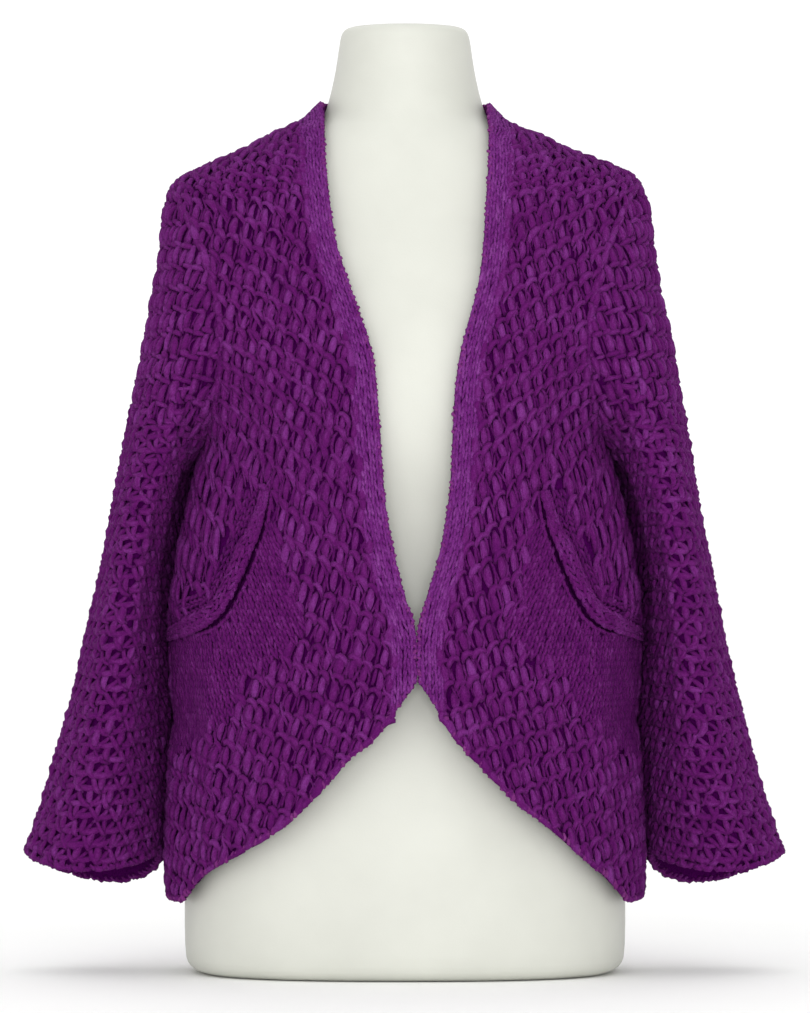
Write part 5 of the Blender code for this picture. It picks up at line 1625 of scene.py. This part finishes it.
def soft_room(room_light):
    """A white room with a grey cloth hung at each side, above eye level, and a lit ceiling."""
    world = bpy.data.worlds.new("soft_room")
    world.use_nodes = True
    tree = world.node_tree
    place = add_node(tree, "ShaderNodeTexCoord")
    parts = add_node(tree, "ShaderNodeSeparateXYZ", links={"Vector": place.outputs["Generated"]})
    aside = add_node(tree, "ShaderNodeMath", {"operation": "ABSOLUTE"}, {0: parts.outputs["X"]})
    cloths = add_node(tree, "ShaderNodeMapRange",
                      {"interpolation_type": "SMOOTHSTEP", "From Min": 0.35, "From Max": 0.90,
                       "To Min": 0.0, "To Max": -0.72}, {"Value": aside.outputs[0]})
    rise = add_node(tree, "ShaderNodeMapRange",
                    {"interpolation_type": "SMOOTHSTEP", "From Min": 0.10, "From Max": 0.24,
                     "To Min": 0.0, "To Max": room_light}, {"Value": parts.outputs["Z"]})
    walls = add_node(tree, "ShaderNodeMath", {"operation": "MULTIPLY_ADD", 2: room_light},
                     {0: cloths.outputs["Result"], 1: rise.outputs["Result"]})
    ceiling = add_node(tree, "ShaderNodeMapRange",
                       {"interpolation_type": "SMOOTHSTEP", "From Min": 0.25, "From Max": 0.95,
                        "To Min": 1.0, "To Max": 1.24}, {"Value": parts.outputs["Z"]})
    both = add_node(tree, "ShaderNodeMath", {"operation": "MULTIPLY"},
                    {0: walls.outputs[0], 1: ceiling.outputs["Result"]})
    background = tree.nodes["Background"]
    background.inputs["Color"].default_value = (1.0, 1.0, 1.0, 1.0)
    tree.links.new(both.outputs[0], background.inputs["Strength"])
    return world


def hang_lamp(scene, name, spot, size, power):
    """A square soft lamp at a spot, turned to the middle of the form."""
    light = bpy.data.lights.new(name, "AREA")
    light.size, light.energy = size, power
    lamp = bpy.data.objects.new(name, light)
    lamp.location = spot
    aim = np.array(LIGHT_AIM) - np.array(spot)
    lamp.rotation_euler = (math.atan2(math.hypot(aim[0], aim[1]), -aim[2]), 0.0,
                           math.atan2(aim[1], aim[0]) - math.pi / 2)
    scene.collection.objects.link(lamp)


def set_camera(scene):
    """A level camera, far enough in front of the form that its view is nearly flat."""
    lens = bpy.data.cameras.new("camera")
    lens.sensor_width, lens.lens = SENSOR, SENSOR * CAMERA_DISTANCE / FRAME_HEIGHT
    lens.clip_end = 200.0
    camera = bpy.data.objects.new("camera", lens)
    camera.location = (0.0, -CAMERA_DISTANCE, CAMERA_HEIGHT)
    camera.rotation_euler = (math.pi / 2, 0.0, 0.0)
    scene.collection.objects.link(camera)
    scene.camera = camera


class SHRUG_OT_stage(bpy.types.Operator):
    """Pale floor, soft light and the camera"""

    bl_idname = "shrug.stage"
    bl_label = "Stage"

    def execute(self, context):
        scene = context.scene
        look = scene.shrug_stage
        bpy.ops.object.select_all(action="DESELECT")
        bpy.ops.mesh.primitive_plane_add(size=120.0, location=(0.0, 0.0, -0.0006))
        floor = context.active_object
        floor.name = "floor"
        bpy.ops.object.transform_apply(location=True, rotation=True, scale=True)
        floor.data.materials.append(floor_material("pale_studio_floor", tuple(look.floor_colour)))
        scene.world = soft_room(look.room_light)
        hang_lamp(scene, "key_light", (-1.3, -2.6, 1.9), 1.6, look.key_power)
        hang_lamp(scene, "fill_light", (1.6, -2.6, 0.9), 1.8, look.key_power * 0.45)
        hang_lamp(scene, "low_light", (0.05, -3.2, 0.22), 1.2, look.key_power * 6.60)
        set_camera(scene)
        scene.view_settings.view_transform = "Standard"
        return {"FINISHED"}


class SHRUG_PT_panel(bpy.types.Panel):
    """Buttons for the pieces of the shrug"""

    bl_label = "Knitted shrug"
    bl_idname = "SHRUG_PT_panel"
    bl_space_type = "VIEW_3D"
    bl_region_type = "UI"
    bl_category = "Shrug"

    def draw(self, context):
        for group in (context.scene.shrug_knit, context.scene.shrug_stage):
            for name in group.bl_rna.properties.keys():
                if name not in ("rna_type", "name"):
                    self.layout.prop(group, name)
        for operator in OPERATORS:
            self.layout.operator(operator.bl_idname)


OPERATORS = (SHRUG_OT_dress_form, SHRUG_OT_back, SHRUG_OT_fronts, SHRUG_OT_sleeves,
             SHRUG_OT_front_bands, SHRUG_OT_pockets, SHRUG_OT_stage)
CLASSES = (ShrugKnitSizes, ShrugStageLook) + OPERATORS + (SHRUG_PT_panel,)


def register():
    """Makes the settings, operators and panel known to Blender."""
    for one in CLASSES:
        bpy.utils.register_class(one)
    bpy.types.Scene.shrug_knit = bpy.props.PointerProperty(type=ShrugKnitSizes)
    bpy.types.Scene.shrug_stage = bpy.props.PointerProperty(type=ShrugStageLook)


def unregister():
    """Takes them out again, in the opposite order."""
    del bpy.types.Scene.shrug_stage
    del bpy.types.Scene.shrug_knit
    for one in reversed(CLASSES):
        bpy.utils.unregister_class(one)


def main():
    """Builds every piece and the stage."""
    register()
    for operator in OPERATORS:
        getattr(bpy.ops.shrug, operator.bl_idname.split(".")[1])()


if __name__ == "__main__":
    main()
